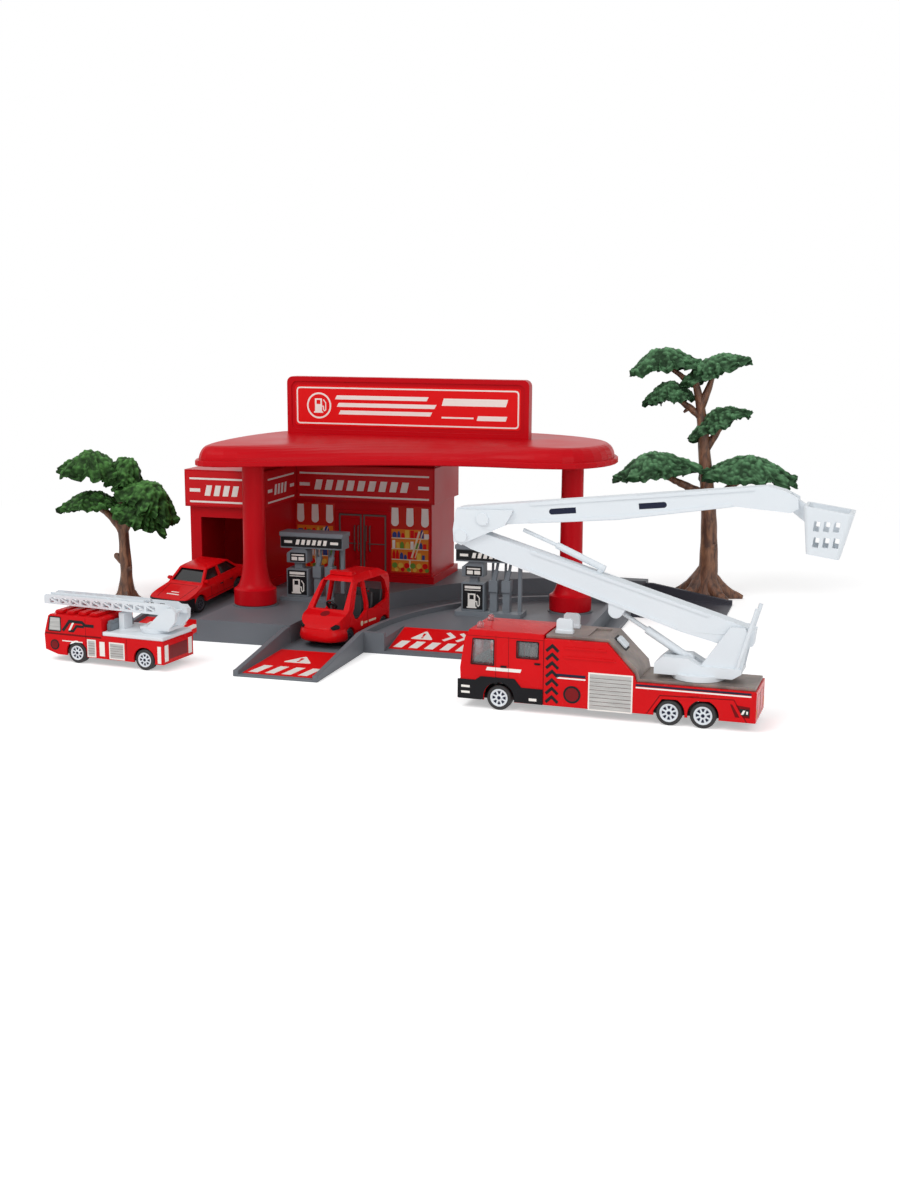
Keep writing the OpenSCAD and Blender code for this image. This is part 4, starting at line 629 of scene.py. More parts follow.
def dress_station():
    """Prints on the building, the collar from roof to canopy, and the door's frame, beads and handles."""
    dress_sign()
    front = Vector(((BAY_LEFT + BAY_RIGHT) / 2, BAY_FRONT - FASCIA_OUT - LABEL, FASCIA_MID))
    side = Vector((BAY_RIGHT + FASCIA_OUT + LABEL, (BAY_FRONT + SHOP_FRONT) / 2 - 2, FASCIA_MID))
    shop = Vector(((BAY_RIGHT + SHOP_RIGHT) / 2 + 2, SHOP_FRONT - FASCIA_OUT - LABEL, FASCIA_MID))
    dress_fascia("garage_fascia_print", sheet(front, X, Z), 51, 4)
    dress_fascia("side_fascia_print", sheet(side, Y, Z), 48, 4)
    dress_fascia("shop_fascia_print", sheet(shop, X, Z), 94, 9)
    bm = bmesh.new()
    collar = [(-99, 26), (-97, 60), (-90, 82), (-76, 100), (-40, 112), (8, 112), (8, 82), (-82, 82),
              (-88, 60), (-88, 26)]
    plate(bm, collar, ROOF_TOP - 0.05, CANOPY_UNDER - 0.05)
    piece("roof_collar", bm, HERE, "station", STATION_RED)
    shop_window("left_window", -86, -58, 19, 64, 3)
    shop_window("right_window", -19, 9, 19, 64, 8)
    bm = bmesh.new()
    band(bm, rect(-19.4, -0.2, 19.4, 42.2), rect(-17, -0.2, 17, 40), 0, 0.9)
    opening = sheet((DOOR_MID, SHOP_FRONT, SHOP_FLOOR), X, Z)
    piece("door_frame", bm, opening, "station", STATION_RED)
    leaf = sheet((DOOR_MID, SHOP_FRONT - 0.8, SHOP_FLOOR), X, Z)
    bead = 0.35
    bm = bmesh.new()
    for x0, x1 in ((-16.6, -0.6), (0.6, 16.6)):
        band(bm, rect(x0, 0.4, x1, 39.6), rect(x0 + 1.1, 1.5, x1 - 1.1, 38.5), 0, bead)
        plate(bm, rect(x0 + 1.1, 19.6, x1 - 1.1, 20.2), 0, bead)
    piece("door_beads", bm, leaf, "station", DOOR_TRIM)
    bow = ((15, 0.2), (15.6, 1.1), (16.6, 1.3), (30.4, 1.3), (31.4, 1.1), (32, 0.2))
    bm = bmesh.new()
    for x in (-5.4, -2.8, 2.8, 5.4):
        tube(bm, [(x, y, z) for y, z in bow], [0.42] * len(bow), 10)
    piece("door_handles", bm, leaf, "station", DOOR_TRIM)


def dress_pumps():
    """Pictogram and plain bars on the pumps' black labels, each on a face so far out in front."""
    marks = fuel_symbol(-9.6, 9.0, 9.2) + [rect(-14.8, 15.2, -4.8, 15.7), rect(-14.8, 16.4, -4.8, 18.0)]
    tiles = [rect(-13.6, 25.2, -9.9, 27.4), rect(-9.0, 25.2, -5.3, 27.4), rect(-13.6, 28.2, -5.3, 29.0)]
    bars = [rect(-17.8, 36.2, -12.6, 37.8), rect(12.6, 36.2, 17.8, 37.8)]
    bars += [slanted(-10.4 + 3.6 * i, 35.4, 2.2, 3.2, 0.8) for i in range(6)]
    for k, (x, y, z) in enumerate(PUMPS, start=1):
        for kind, front, shapes in (("print", 5.7, marks), ("screen", 5.1, tiles), ("header", 6.3, bars)):
            face = sheet((x, y - front, z), X, Z)
            print_on(f"pump_{k}_{kind}", face, "station", LABEL_WHITE, shapes)


def ramp_sheet(x, y, lip, run, slope):
    """Working plane on a ramp's label, so far up a slope from its lip."""
    return sheet((x, y, lip + run * slope + LABEL), X, Vector((0, 1, slope)).normalized())


def dress_ramps():
    """Warning triangles, leaning stripes and arrows on the ramp labels."""
    lane = ramp_sheet(LANE_MID, RAMP_FRONT + 4, RAMP_LIP, 4, RAMP_SLOPE)
    ground, mark = warning_sign(0, 27, 17)
    stripes = [slanted(-17.6 + 9.4 * k, 2.2, 5.2, 15.5, 2.6) for k in range(4)]
    print_on("lane_ramp_print", lane, "station", LABEL_WHITE, stripes + [ground])
    print_on("lane_ramp_mark", lane, "station", LABEL_RED, mark, layer=2)
    island = ramp_sheet(63, BASE_FRONT + 5, ISLAND_LIP, 3, ISLAND_SLOPE)
    ground, mark = warning_sign(-19, 14.6, 14)
    stripes = [slanted(-32 + 9.2 * k, 2.0, 5.2, 9.5, 2.4) for k in range(7)]
    arrows = [stroke([(x, 15), (x + 4.6, 20.6), (x, 26.2)], 2.6) for x in (-6, 2, 10, 18)]
    print_on("island_ramp_print", island, "station", LABEL_WHITE, stripes + [ground] + arrows)
    print_on("island_ramp_mark", island, "station", LABEL_RED, mark, layer=2)
    garage = ramp_sheet(-114, -70, RAMP_LIP, 6, GARAGE_SLOPE)
    stripes = [slanted(-18.4 + 9.4 * k, 2.2, 5.2, 15.5, 2.6) for k in range(4)]
    print_on("garage_ramp_print", garage, "station", LABEL_WHITE, stripes)


dress_station()
dress_pumps()
dress_ramps()


# Wheels, shutters and vehicles


def border(points, width):
    """Strips along each side of an outline."""
    return [stroke([points[i - 1], points[i]], width) for i in range(len(points))]


def dress_wheels(name, place, spot, radius, body, dish, hole):
    """Faces of an axle's two wheels: a rim, a dish with eight holes and a cap."""
    x, face, z = spot
    rim, marks = bmesh.new(), bmesh.new()
    for side in (-1, 1):
        hub = sheet((x, side * face, z), X * -side, Z)
        lathe(rim, [(radius, -0.9), (radius, 0.08), (radius * 0.9, 0.12), (radius * 0.82, -0.3),
                    (radius * 0.3, -0.26), (radius * 0.26, 0.02), (radius * 0.08, 0.06)], hub, 32)
        for k in range(8):
            outer = arc(0, 0, radius * 0.76, 45 * k - 14, 45 * k + 14, 3)
            inner = arc(0, 0, radius * 0.42, 45 * k + 9, 45 * k - 9, 3)
            plate(marks, outer + inner, -0.32, -0.2, hub)
        plate(marks, disc(0, 0, radius * 0.2, 12), 0, 0.12, hub)
    piece(name + "_rims", rim, place, body, dish)
    piece(name + "_holes", marks, place, body, hole)


# Wheels of each vehicle: how far out their faces are, their height, hub size, finishes and places along it
WHEELS = (
    ("bt", BOOM_TRUCK, 15.2, 6.2, 4.4, BOOM_WHITE, LABEL_NAVY, {"front": -51.3, "middle": 32, "rear": 48}),
    ("lt", LADDER_TRUCK, 14.7, 5.8, 4.0, BOOM_WHITE, LABEL_NAVY, {"front": -21.7, "rear": 21.7}),
    ("sd", SEDAN, 14.1, 5.2, 3.6, DARK_GREY, LABEL_BLACK, {"front": -21, "rear": 21}),
    ("ct", CART, 13.2, 5, 3.36, DARK_GREY, LABEL_BLACK, {"front": -20, "rear": 20}),
)
for car, where, out, up, hub_size, dish, hole, axles in WHEELS:
    for end, along in axles.items():
        axle = f"{car}_{end}_axle"
        dress_wheels(f"{car}_{end}_wheel", where, (along, out, up), hub_size, axle, dish, hole)


def dress_flanks(car, place, half, body, rows):
    """Side-view shapes on both flanks, in rows of a name, a finish and outlines.
    A row that isn't a first thin print has its layer and thickness before the outlines."""
    for name, finish, *height, outlines in rows:
        both_sides(f"{car}_{name}", place, half, body, finish, outlines, *height)


def shutter(name, x0, z0, x1, z1, slats):
    """Rows of a roller shutter label: white border, silver ground and the dark joints between slats."""
    edge = 0.7
    pitch = (z1 - z0 - 2 * edge) / slats
    joints = []
    for k in range(1, slats):
        z = z0 + edge + pitch * k
        joints.append(rect(x0 + edge, z - 0.1, x1 - edge, z + 0.1))
    return [
        (name + "_border", LABEL_WHITE, 0, 0.2, [rect(x0, z0, x1, z1)]),
        (name + "_foil", SHUTTER, 3, 0.1, [rect(x0 + edge, z0 + edge, x1 - edge, z1 - edge)]),
        (name + "_joints", DOOR_TRIM, 5, PRINT, joints),
    ]


def seats(bm, places, width, low, high):
    """Moulded seats, each a cushion and a back, at (x of the back, y of the middle)."""
    for x, y in places:
        block(bm, (x - 8, y - width / 2, low), (x, y + width / 2, low + 3.6), 0.8)
        block(bm, (x - 1.6, y - width / 2, low + 2.6), (x + 1.0, y + width / 2, high), 0.8)


def steering_wheel(bm, centre, radius, lean):
    """Thin ring with one spoke bar on a column that leans back."""
    turn = Matrix.Translation(centre) @ Matrix.Rotation(math.radians(lean), 4, "Y")
    ring = [turn @ Vector((x, y, 0)) for x, y in disc(0, 0, radius, 20)]
    tube(bm, ring + ring[:1], [0.45] * 21, 8)
    tube(bm, [turn @ Vector((0, -radius, 0)), turn @ Vector((0, radius, 0))], [0.4, 0.4], 8)
    tube(bm, [turn @ Vector((0, 0, -6)), turn @ Vector((0, 0, 0.4))], [0.7, 0.5], 8)


BOOM_FOOT, BOOM_ELBOW, BOOM_HALF = Vector((61, 42)), Vector((-74, 83.5)), 4.5


def on_lower_boom(u, v):
    """Side-view point on the lower boom: u along it from its pivot, v across it."""
    along = (BOOM_ELBOW - BOOM_FOOT).normalized()
    return tuple(BOOM_FOOT + along * u + Vector((along.y, -along.x)) * v)


def dress_boom_truck():
    """Bumper trim, window surrounds, seams, shutters, stripes, cab inside and the prints on the booms."""
    skirt = [(-72.3, 4.9)] + arc(-51.3, 6.2, 7.9, 189.5, -9.5, 18)
    skirt += [(-29.3, 4.7), (-29.3, 12.3), (-40, 12.3), (-43.5, 16.4), (-60.5, 16.4)]
    skirt += [(-63.4, 14.4), (-72.3, 14.4)]
    front_window = [(-65.6, 22.3), (-54, 22.3), (-54, 35), (-64.6, 35)]
    rear_window = [(-42.5, 27), (-31.7, 27), (-31.7, 35.2), (-42.5, 35.2)]
    chevrons = [stroke([(-27.8, z - 2.8), (-24.8, z), (-21.8, z - 2.8)], 1.5)
                for z in (34.3 - 4.2 * k for k in range(7))]
    seams = [rect(-53.1, 16.4, -52.9, 37), rect(-46.7, 12.4, -46.5, 37), rect(-68, 36.3, -29.4, 36.5),
             rect(-29.25, 5, -28.95, 36.6)]
    # Painted shade: this last line is a dark line along the outer edge of the raised arch rib over the rear
    # wheels.
    seams.append(stroke([(21.4, 4.8), (27.6, 14.4), (62.1, 15.2), (68.3, 4.8)], 0.4))
    rows = [
        ("skirt", TRIM_BLACK, 0, 0.5, [skirt]),
        ("lamps", LABEL_WHITE, 10, 0.1, [rect(-70.4, 7.5, -66, 8.6), rect(-70.4, 10.4, -66, 11.5),
                                         rect(-36, 6.2, -32.2, 7.5)]),
        ("cab_bar", LABEL_WHITE, [slanted(-58, 19.6, 17.4, 1.7, 0.6)]),
        ("handles", TRIM_BLACK, 0, 0.4, [rounded(rect(-50.6, 21.6, -47.4, 22.5), 0.4),
                                         rounded(rect(-33.6, 24.2, -30.6, 25.1), 0.4)]),
        ("window_trim", TRIM_BLACK, 0, 0.15, border(front_window, 0.55) + border(rear_window, 0.55)),
        ("chevrons", LABEL_BLACK, chevrons),
        ("ribs", TRUCK_RED, 0, 0.4, [rect(-19, 33.2, 1.5, 34.2), rect(-19, 28.6, 6, 29.6)]),
        ("arch_rib", TRUCK_RED, 0, 0.15, [stroke([(22.6, 5), (28.3, 13.4), (61.5, 14.2), (67, 5)], 1.3)]),
        ("dark_lines", LABEL_NAVY, [rect(-22.4, 19.5, -8.3, 20.8), rect(16, 17.9, 70, 18.9)]),
        ("white_lines", LABEL_WHITE, [rect(-22.4, 18.4, -8.3, 19.1), rect(16, 16.9, 70, 17.6)]),
        ("cap", LABEL_BLACK, 0, 0.15, [disc(-14.8, 11, 4.3, 32)]),
        ("cap_ring", LABEL_AND_SHADE_DARK_RED, 4, PRINT, [disc(-14.8, 11, 3.3, 32)]),
        ("seams", SEAM_AND_SHADE_RED, seams),
        ("tail_panel", SEAM_AND_SHADE_RED, [[(60.4, 13), (63, 7), (69.6, 7), (69.6, 12.2)]]),
        ("tail_lamp", LABEL_BLACK, 1, PRINT, [rect(65, 8, 69.4, 11.2)]),
        ("tail_marks", LABEL_WHITE, 2, PRINT, [slanted(65.6, 8.6, 1.1, 2, 0.9), rect(68, 8.8, 68.8, 10.2)]),
    ]
    rows += shutter("shutter", -6.9, 4.2, 14.6, 22.7, 9)
    dress_flanks("bt", BOOM_TRUCK, BT_HALF, "boom_truck", rows)

    bm = bmesh.new()
    block(bm, (-67.4, -11.4, 18.6), (-63.8, 11.4, 23), 0.9)
    seats(bm, [(x, y) for x in (-47, -35.4) for y in (-6.2, 6.2)], 9.6, 17.2, 32.4)
    steering_wheel(bm, (-60.6, -6.2, 25), 3.4, -62)
    piece("bt_cab_inside", bm, BOOM_TRUCK, "boom_truck", DOOR_TRIM)

    nose = BOOM_TRUCK @ sheet((-71.2, 0, 0), -Y, Z)
    bars = [rect(-10, 8.2 + 1.2 * k, 10, 8.7 + 1.2 * k) for k in range(3)]
    print_on("bt_grille", nose, "boom_truck", LABEL_WHITE, bars, thick=0.3)
    brow = BOOM_TRUCK @ sheet((-71.35, 0, 0), -Y, Z)
    lamps = [rounded(rect(x - 1.9, 15.2, x + 1.9, 18), 0.8) for x in (-11.6, 11.6)]
    print_on("bt_headlamps", brow, "boom_truck", LABEL_CREAM, lamps, thick=0.3)
    tail = BOOM_TRUCK @ sheet((72.4, 0, 0), Y, Z)
    doors = border(rect(-11, 6.4, -0.4, 16.4), 0.3) + border(rect(0.4, 6.4, 11, 16.4), 0.3)
    print_on("bt_tail_doors", tail, "boom_truck", SEAM_AND_SHADE_RED, doors)
    lamps = [rect(x - 1, 7, x + 1, 11) for x in (-13.2, 13.2)]
    print_on("bt_tail_lamps", tail, "boom_truck", LABEL_ORANGE, lamps)

    slope = BOOM_TRUCK @ sheet((2.2, 0, 39), Y, Vector((-14.2, 0, 14)).normalized())
    print_on("bt_slope_well", slope, "boom_truck", TRIM_BLACK, [rect(-6.5, -9.6, 2.5, -1.2)])
    bm = bmesh.new()
    block(bm, (-5.5, -8.6, 0), (1.5, -2.2, 1.6), 0.5)
    piece("bt_slope_box", bm, slope, "boom_truck", BOOM_WHITE)

    edges = ([(16, 6.1), (106, 4.9), (106, 3.5), (16, 4.7)],
             [(28, -6.6), (106, -5.3), (106, -3.9), (28, -5.2)])
    rails = [[on_lower_boom(u, v) for u, v in edge] for edge in edges]
    both_sides("bt_lower_rails", BOOM_TRUCK, BOOM_HALF, "bt_lower", BOOM_WHITE, rails, thick=0.5)
    top = [(-40, 101), (66, 112.8), (66, 111.4), (-40, 99.6)]
    foot = [(-40, 91.3), (3, 95.2), (56, 103.6), (56, 105), (3, 96.6), (-40, 92.7)]
    both_sides("bt_upper_rails", BOOM_TRUCK, BOOM_HALF, "bt_upper", BOOM_WHITE, [top, foot], thick=0.5)
    bar = [(-6.6, -1.4), (5.2, -1.4)] + arc(5.2, 0, 1.4, -80, 80, 6) + [(5.2, 1.4), (-6.6, 1.4)]
    bars = []
    for x, z, turn in ((-24, 97.8, 180), (19.4, 102.4, 0)):
        spin = Matrix.Rotation(math.radians(turn + 6.1), 2)
        bars.append([tuple(Vector((x, z)) + spin @ Vector(p)) for p in bar])
    both_sides("bt_boom_bars", BOOM_TRUCK, BOOM_HALF, "bt_upper", LABEL_NAVY, bars)


def dress_ladder_truck():
    """Window foil, swoosh, shutters, lamps and the gear on the ladder truck."""
    glass = [(-39.8, 17.2), (-31.7, 17.2), (-31.7, 25), (-38.6, 25)]
    swoosh = [stroke([(-30.4, 17.6), (-25.8, 23.2), (-17.6, 23.2), (-15.6, 21.6), (-10, 21.6)], 1.7),
              stroke([(-26.6, 17.9), (-23.6, 17.9), (-21.2, 20.8), (-16.4, 20.8)], 1.4)]
    rows = [
        ("window", SHUTTER, [glass]),
        ("window_trim", TRIM_BLACK, 2, PRINT, border(glass, 0.6)),
        ("swoosh", LABEL_BLACK, swoosh),
        ("slash", LABEL_WHITE, 2, PRINT, [slanted(-26.6, 18.2, 1.3, 4.4, 2.6)]),
        ("belt", SEAM_AND_SHADE_RED, [rect(-42.2, 15.2, -5.4, 16.1)]),
        ("cap", LABEL_BLACK, 0, 0.15, [disc(-36, 9.4, 2.9, 28)]),
        ("cap_ring", LABEL_AND_SHADE_DARK_RED, 4, PRINT, [disc(-36, 9.4, 2.2, 28)]),
        ("white_lines", LABEL_WHITE, [rect(-31, 11.7, -17.6, 12.3), rect(-6.7, 5.5, -3.4, 13.5),
                                                rect(30.2, 4.6, 32.4, 14)]),
        ("seams", SEAM_AND_SHADE_RED, [rect(-15.6, 4.4, -15.4, 25.6), rect(10.6, 4.4, 10.8, 16.4)]),
    ]
    rows += shutter("front_shutter", -14.6, 4.4, -9, 14.2, 6)
    rows += shutter("rear_shutter", -0.4, 4.4, 9.3, 13.8, 6)
    dress_flanks("lt", LADDER_TRUCK, LT_HALF, "ladder_truck", rows)
    nose = LADDER_TRUCK @ sheet((-42.75, 0, 0), -Y, Z)
    print_on("lt_grille", nose, "ladder_truck", LABEL_BLACK, [rect(-8, 9.4, 8, 13.4)])
    bars = [rect(-7.4, 10 + k, 7.4, 10.4 + k) for k in range(3)]
    print_on("lt_grille_bars", nose, "ladder_truck", LABEL_WHITE, bars, layer=2)
    lamps = [disc(side * (11.2 - 3.6 * k), 8, 1.4, 18) for side in (-1, 1) for k in range(2)]
    print_on("lt_headlamps", nose, "ladder_truck", LABEL_CREAM, lamps, thick=0.4)
    tail = LADDER_TRUCK @ sheet((33.8, 0, 0), Y, Z)
    # Painted shade: a dark red sheet over the rear face between its white bands.
    print_on("lt_tail_painted_shade", tail, "ladder_truck", LABEL_AND_SHADE_DARK_RED, [rect(-9, 6.2, 9, 13.6)])
    bands = [rect(-13.6, 5.4, -10, 14.4), rect(10, 5.4, 13.6, 14.4)]
    print_on("lt_tail_bands", tail, "ladder_truck", LABEL_WHITE, bands)
    bm = bmesh.new()
    for x in (-35, -27.4, -19.8, -12.2):
        block(bm, (x - 2.6, -12, 26.2), (x + 2.6, 12, 28.1), 0.7)
    piece("lt_roof_lockers", bm, LADDER_TRUCK, "ladder_truck", TRUCK_RED)
    bm = bmesh.new()
    block(bm, (-4.5, -11, 18), (-1.5, 11, 23.2), 0.5)
    for y in (-8.4, -2.8, 2.8, 8.4):
        block(bm, (-4.3, y - 1.9, 22.6), (-1.7, y + 1.9, 24.4), 0.4)
    piece("lt_gear_box", bm, LADDER_TRUCK, "ladder_truck", PUMP_GREY)


def round_nose(centre, half, outer, inner, back):
    """Plan of a band round a nose: two corner arcs of each radius, and ends that run back beside it."""
    def line(radius):
        left = arc(centre, half, radius, 90, 180, 8)
        right = arc(centre, -half, radius, 180, 270, 8)
        return [(back, half + radius)] + left + right + [(back, -half - radius)]
    return line(outer) + line(inner)[::-1]


def dress_sedan():
    """Black bumpers, mirrors, seams, lamps and plain bars on the hood."""
    bm = bmesh.new()
    front = round_nose(-30.6, 8.5, 6.5, 5.2, -27.6)
    plate(bm, front, 3.4, 11.2)
    plate(bm, [(-x, y) for x, y in front], 3.4, 8.2)
    piece("sd_bumpers", bm, SEDAN, "sedan", TRIM_BLACK)
    bm = bmesh.new()
    for side in (-1, 1):
        low, high = sorted((side * 12.2, side * 15.6))
        block(bm, (-13.6, low, 16.2), (-11, high, 18.3), 0.6)
    piece("sd_mirrors", bm, SEDAN, "sedan", TRUCK_RED)
    rise = Vector((18.4, 0, 3.8)).normalized()
    hood = SEDAN @ sheet((-34.4, 0, 11.6), -Y, rise)
    lines = [stroke([(side * 8.6, 0.6), (side * 10.2, 17.6)], 0.3) for side in (-1, 1)]
    print_on("sd_hood_seams", hood, "sedan", SEAM_AND_SHADE_RED, lines + [rect(-10.2, 17.4, 10.2, 17.7)])
    bars = [rect(-4.4, 4.6, 4.4, 5.6), rect(-2.8, 7.4, 2.8, 8.2)]
    print_on("sd_hood_bars", hood, "sedan", LABEL_WHITE, bars)
    doors = [rect(x - 0.12, 6.6, x + 0.12, 13.4) for x in (-9, 4.4, 15)]
    rows = [
        ("seams", SEAM_AND_SHADE_RED, doors + [rect(-14.6, 7, 14.6, 7.3)]),
        ("handles", TRIM_BLACK, 0, 0.3, [rounded(rect(x, 12, x + 2.6, 12.7), 0.3) for x in (1, 11.8)]),
        ("side_lamps", LABEL_ORANGE, [rect(-30, 9.4, -27.8, 10.4), rect(28, 10.4, 30, 11.6)]),
    ]
    dress_flanks("sd", SEDAN, SD_HALF, "sedan", rows)


def dress_cart():
    """Headlamps, a full bumper, a cap on the hood, a dark sill line and plain bars on the cart's flanks."""
    almond = rounded([(-3.1, -0.2), (-1.2, -1.6), (2.6, -0.9), (3.0, 0.9), (0.2, 1.7)], 0.9)
    turn = math.radians(136)
    bm = bmesh.new()
    for side in (-1, 1):
        out = Vector((math.cos(turn), side * math.sin(turn), 0))
        lens = sheet(Vector((-26, side * 4.5, 12.6)) + out * 9, Z.cross(out), Z)
        plate(bm, almond if side < 0 else [(-x, y) for x, y in almond], -1.2, 0.3, lens)
    piece("ct_headlamps", bm, CART, "cart", LABEL_BLACK)
    bm = bmesh.new()
    bulge = ((3.8, 8.9), (4.3, 9.7), (5.4, 10.2), (7, 10.3), (8.6, 10), (10, 9.5), (10.9, 9.1))
    skin(bm, [ring(bm, round_nose(-26, 4.5, reach, 8.2, -25.3), height) for height, reach in bulge])
    piece("ct_bumper", bm, CART, "cart", TRUCK_RED, angle=60)
    hood = CART @ sheet((-25.2, 0, 18.5), -Y, Vector((5.6, 0, 2.2)).normalized())
    print_on("ct_hood_cap", hood, "cart", LABEL_AND_SHADE_DARK_RED, [disc(0, 0, 2.8, 24)])
    bars = [disc(-6.4, 10.6, 1.5, 20), rect(-3.6, 10, 0, 11.2), rect(1.6, 10, 10.4, 11.2)]
    rows = [
        ("seams", SEAM_AND_SHADE_RED, [rect(-13.6, 7.2, 13.6, 7.5), rect(0.1, 7.4, 0.3, 17.2)]),
        ("bars", LABEL_CREAM, bars),
        ("sill", TRIM_BLACK, 0, 0.3, [rect(-13.6, 4.2, 13.6, 5.4)]),
    ]
    dress_flanks("ct", CART, CT_HALF, "cart", rows)


dress_boom_truck()
dress_ladder_truck()
dress_sedan()
dress_cart()


# Trees


def bent(bm, knots):
    """Tapered tube along a smooth curve through knots of (x, y, z, radius)."""
    pitch, count = 1.7, 22
    knots = [Vector(k) for k in knots]
    line = []
    for i in range(len(knots) - 1):
        before, here, there = knots[max(i - 1, 0)], knots[i], knots[i + 1]
        after = knots[min(i + 2, len(knots) - 1)]
        steps = max(2, round((there - here).length / pitch))
        for k in range(steps):
            t = k / steps
            curve = (there - before) * t + (2 * before - 5 * here + 4 * there - after) * t * t
            line.append(here + 0.5 * (curve + (3 * here - before - 3 * there + after) * t ** 3))
    line.append(knots[-1])
    tube(bm, [p.to_3d() for p in line], [p.w for p in line], count)


def roughen(bm, amount, size, tall):
    """Pushes points in and out by noise with features of that size, drawn out along Z by 1 / tall."""
    bmesh.ops.recalc_face_normals(bm, faces=bm.faces)
    bm.normal_update()
    for vert in bm.verts:
        spot = Vector((vert.co.x, vert.co.y, vert.co.z * tall)) / size
        vert.co += vert.normal * amount * noise.noise(spot)


def leaf_pad(bm, centre, size, lean, seed):
    """Umbrella of moulded foliage: a drooping dome, hollow below, with a ragged rim and a lean."""
    around, along = 120, 26
    wide, deep, high = size
    turn = Matrix.Rotation(math.radians(lean), 3, "Y")

    def circle(t, under):
        """Points round the dome at t from its crown, on its top or its underside."""
        points = []
        for k in range(around):
            a = 2 * math.pi * k / around
            way = Vector((math.cos(a), math.sin(a), seed * 3.7))
            lobes = 0.12 * noise.noise(way * 1.9) + 0.28 * noise.noise(way * 4.6)
            ragged = 0.85 + (lobes + 0.1 * noise.noise(way * 13)) * t ** 3
            droop = 1 - (1.45 + 0.5 * noise.noise(way * 4.1) * t * t) * t * t
            hollow = (0.3 + 0.5 * (1 - t * t)) if under else 0
            points.append(turn @ Vector((wide * t * ragged * math.cos(a), deep * t * ragged * math.sin(a),
                                         high * 0.94 * (droop - hollow))))
        return points

    steps = [math.sin(math.pi / 2 * (k + 0.2) / (along + 0.2)) for k in range(along + 1)]
    circles = [circle(t, False) for t in steps] + [circle(t, True) for t in steps[::-1]]
    skin(bm, [[bm.verts.new(Vector(centre) + p) for p in points] for points in circles])


def knobble(bm, amount, size):
    """Raises rounded knobs of that size, on lumps three times as large, and marks the gaps between them,
    where the leaf finish paints shade.
    """
    bmesh.ops.recalc_face_normals(bm, faces=bm.faces)
    bm.normal_update()
    mark = bm.verts.layers.float.new("hollow")
    for vert in bm.verts:
        near = noise.voronoi(vert.co / size)[0][0]
        lump = noise.voronoi(vert.co / (size * 3))[0][0]
        vert[mark] = min(1.0, 0.75 * near + 0.4 * lump)
        vert.co += vert.normal * amount * (0.5 - near + 0.9 * (0.35 - lump))


# Trees: limbs are knots of (x, y, z, radius); pads are a centre, the half sizes and a lean in degrees
LEFT_TREE = {
    "spot": (-186, 22), "leaf": LEAF_LEFT, "root_reach": (11, 10), "root_top": 13,
    "limbs": (
        [(0, 0, 0.4, 8.4), (0, 0, 4, 6.4), (0.6, 0, 16, 4.2), (0.2, 0, 34, 3.7), (-0.6, 0, 49, 3.4)],
        [(-0.6, 0, 46, 3.2), (-6, 0, 54, 2.7), (-16, 0, 62, 2.2)],
        [(-0.6, 0, 46, 3.2), (4, 0, 55, 2.8), (12, 0, 64, 2.2)],
        [(-0.4, 0, 50, 2.6), (-1.6, 1, 64, 2.2), (-6, 2, 84, 1.6)],
        [(-2, -0.4, 27, 2.4), (-4.6, -0.6, 29.4, 2.1), (-6, -0.6, 30.8, 1.9), (-7, -0.6, 31.6, 0.7)],
        [(2.4, -0.6, 22, 2.2), (4.2, -0.8, 23, 1.7), (5.2, -0.8, 23.8, 0.7)],
    ),
    "pads": (
        ((19.2, 2, 70.2), (25.2, 20, 11), 31),
        ((-20, -2, 90), (25, 18, 11), 2),
        ((-25, 0, 66), (23, 16, 8), -8),
        ((0, 4, 85), (18, 15, 12), 20),
        ((14, -2, 60), (20, 18, 10), 24),
    ),
}
RIGHT_TREE = {
    "spot": (182, 150), "leaf": LEAF_RIGHT, "root_reach": (27, 14.4), "root_top": 24,
    "limbs": (
        [(0, 0, 0.4, 12), (0, 0, 5, 9.4), (1, 0, 13, 7.6), (2, 0, 26, 6.2), (0.6, 0, 62, 5.2),
         (-4, 0, 104, 3.9), (-7, 0, 128, 3.1), (-12, 0, 150, 2)],
        [(0, 0, 70, 3.2), (-14, -1, 76, 2.6), (-34, -2, 85, 1.7)],
        [(0, 0, 68, 3.4), (11, -1, 74, 2.6), (26, -2, 85, 1.7)],
        [(-3, 0, 100, 2.8), (2, 0, 109, 2.4), (8, 0, 118, 1.7)],
        [(-6, 0, 122, 2.6), (-15, 0, 129, 2.2), (-26, 0, 137, 1.5)],
        [(-7, 0, 128, 2.8), (-3, 0, 140, 2.4), (2, 0, 154, 1.6)],
        [(-10, 0, 143, 2.4), (-20, 0, 149, 1.9), (-32, 0, 158, 1.3)],
        [(3.4, -2.6, 35, 3.0), (5.8, -3.2, 37, 2.2), (7.4, -3.4, 38.4, 0.8)],
        [(-14, 0, 129, 1.6), (-16.6, -0.6, 126.6, 1.2), (-18, -0.8, 125.6, 0.5)],
    ),
    "pads": (
        ((-33, 0, 159), (26, 16.5, 10), -8),
        ((2, 0, 156), (27, 16.5, 8.5), -22),
        ((-29, 0, 138), (18, 14, 9), -10),
        ((6, 0, 121), (24, 16.5, 8.5), -27),
        ((-36, -3, 89), (31, 19, 11), -8),
        ((27, -3, 88), (35, 20, 11), 3),
    ),
}


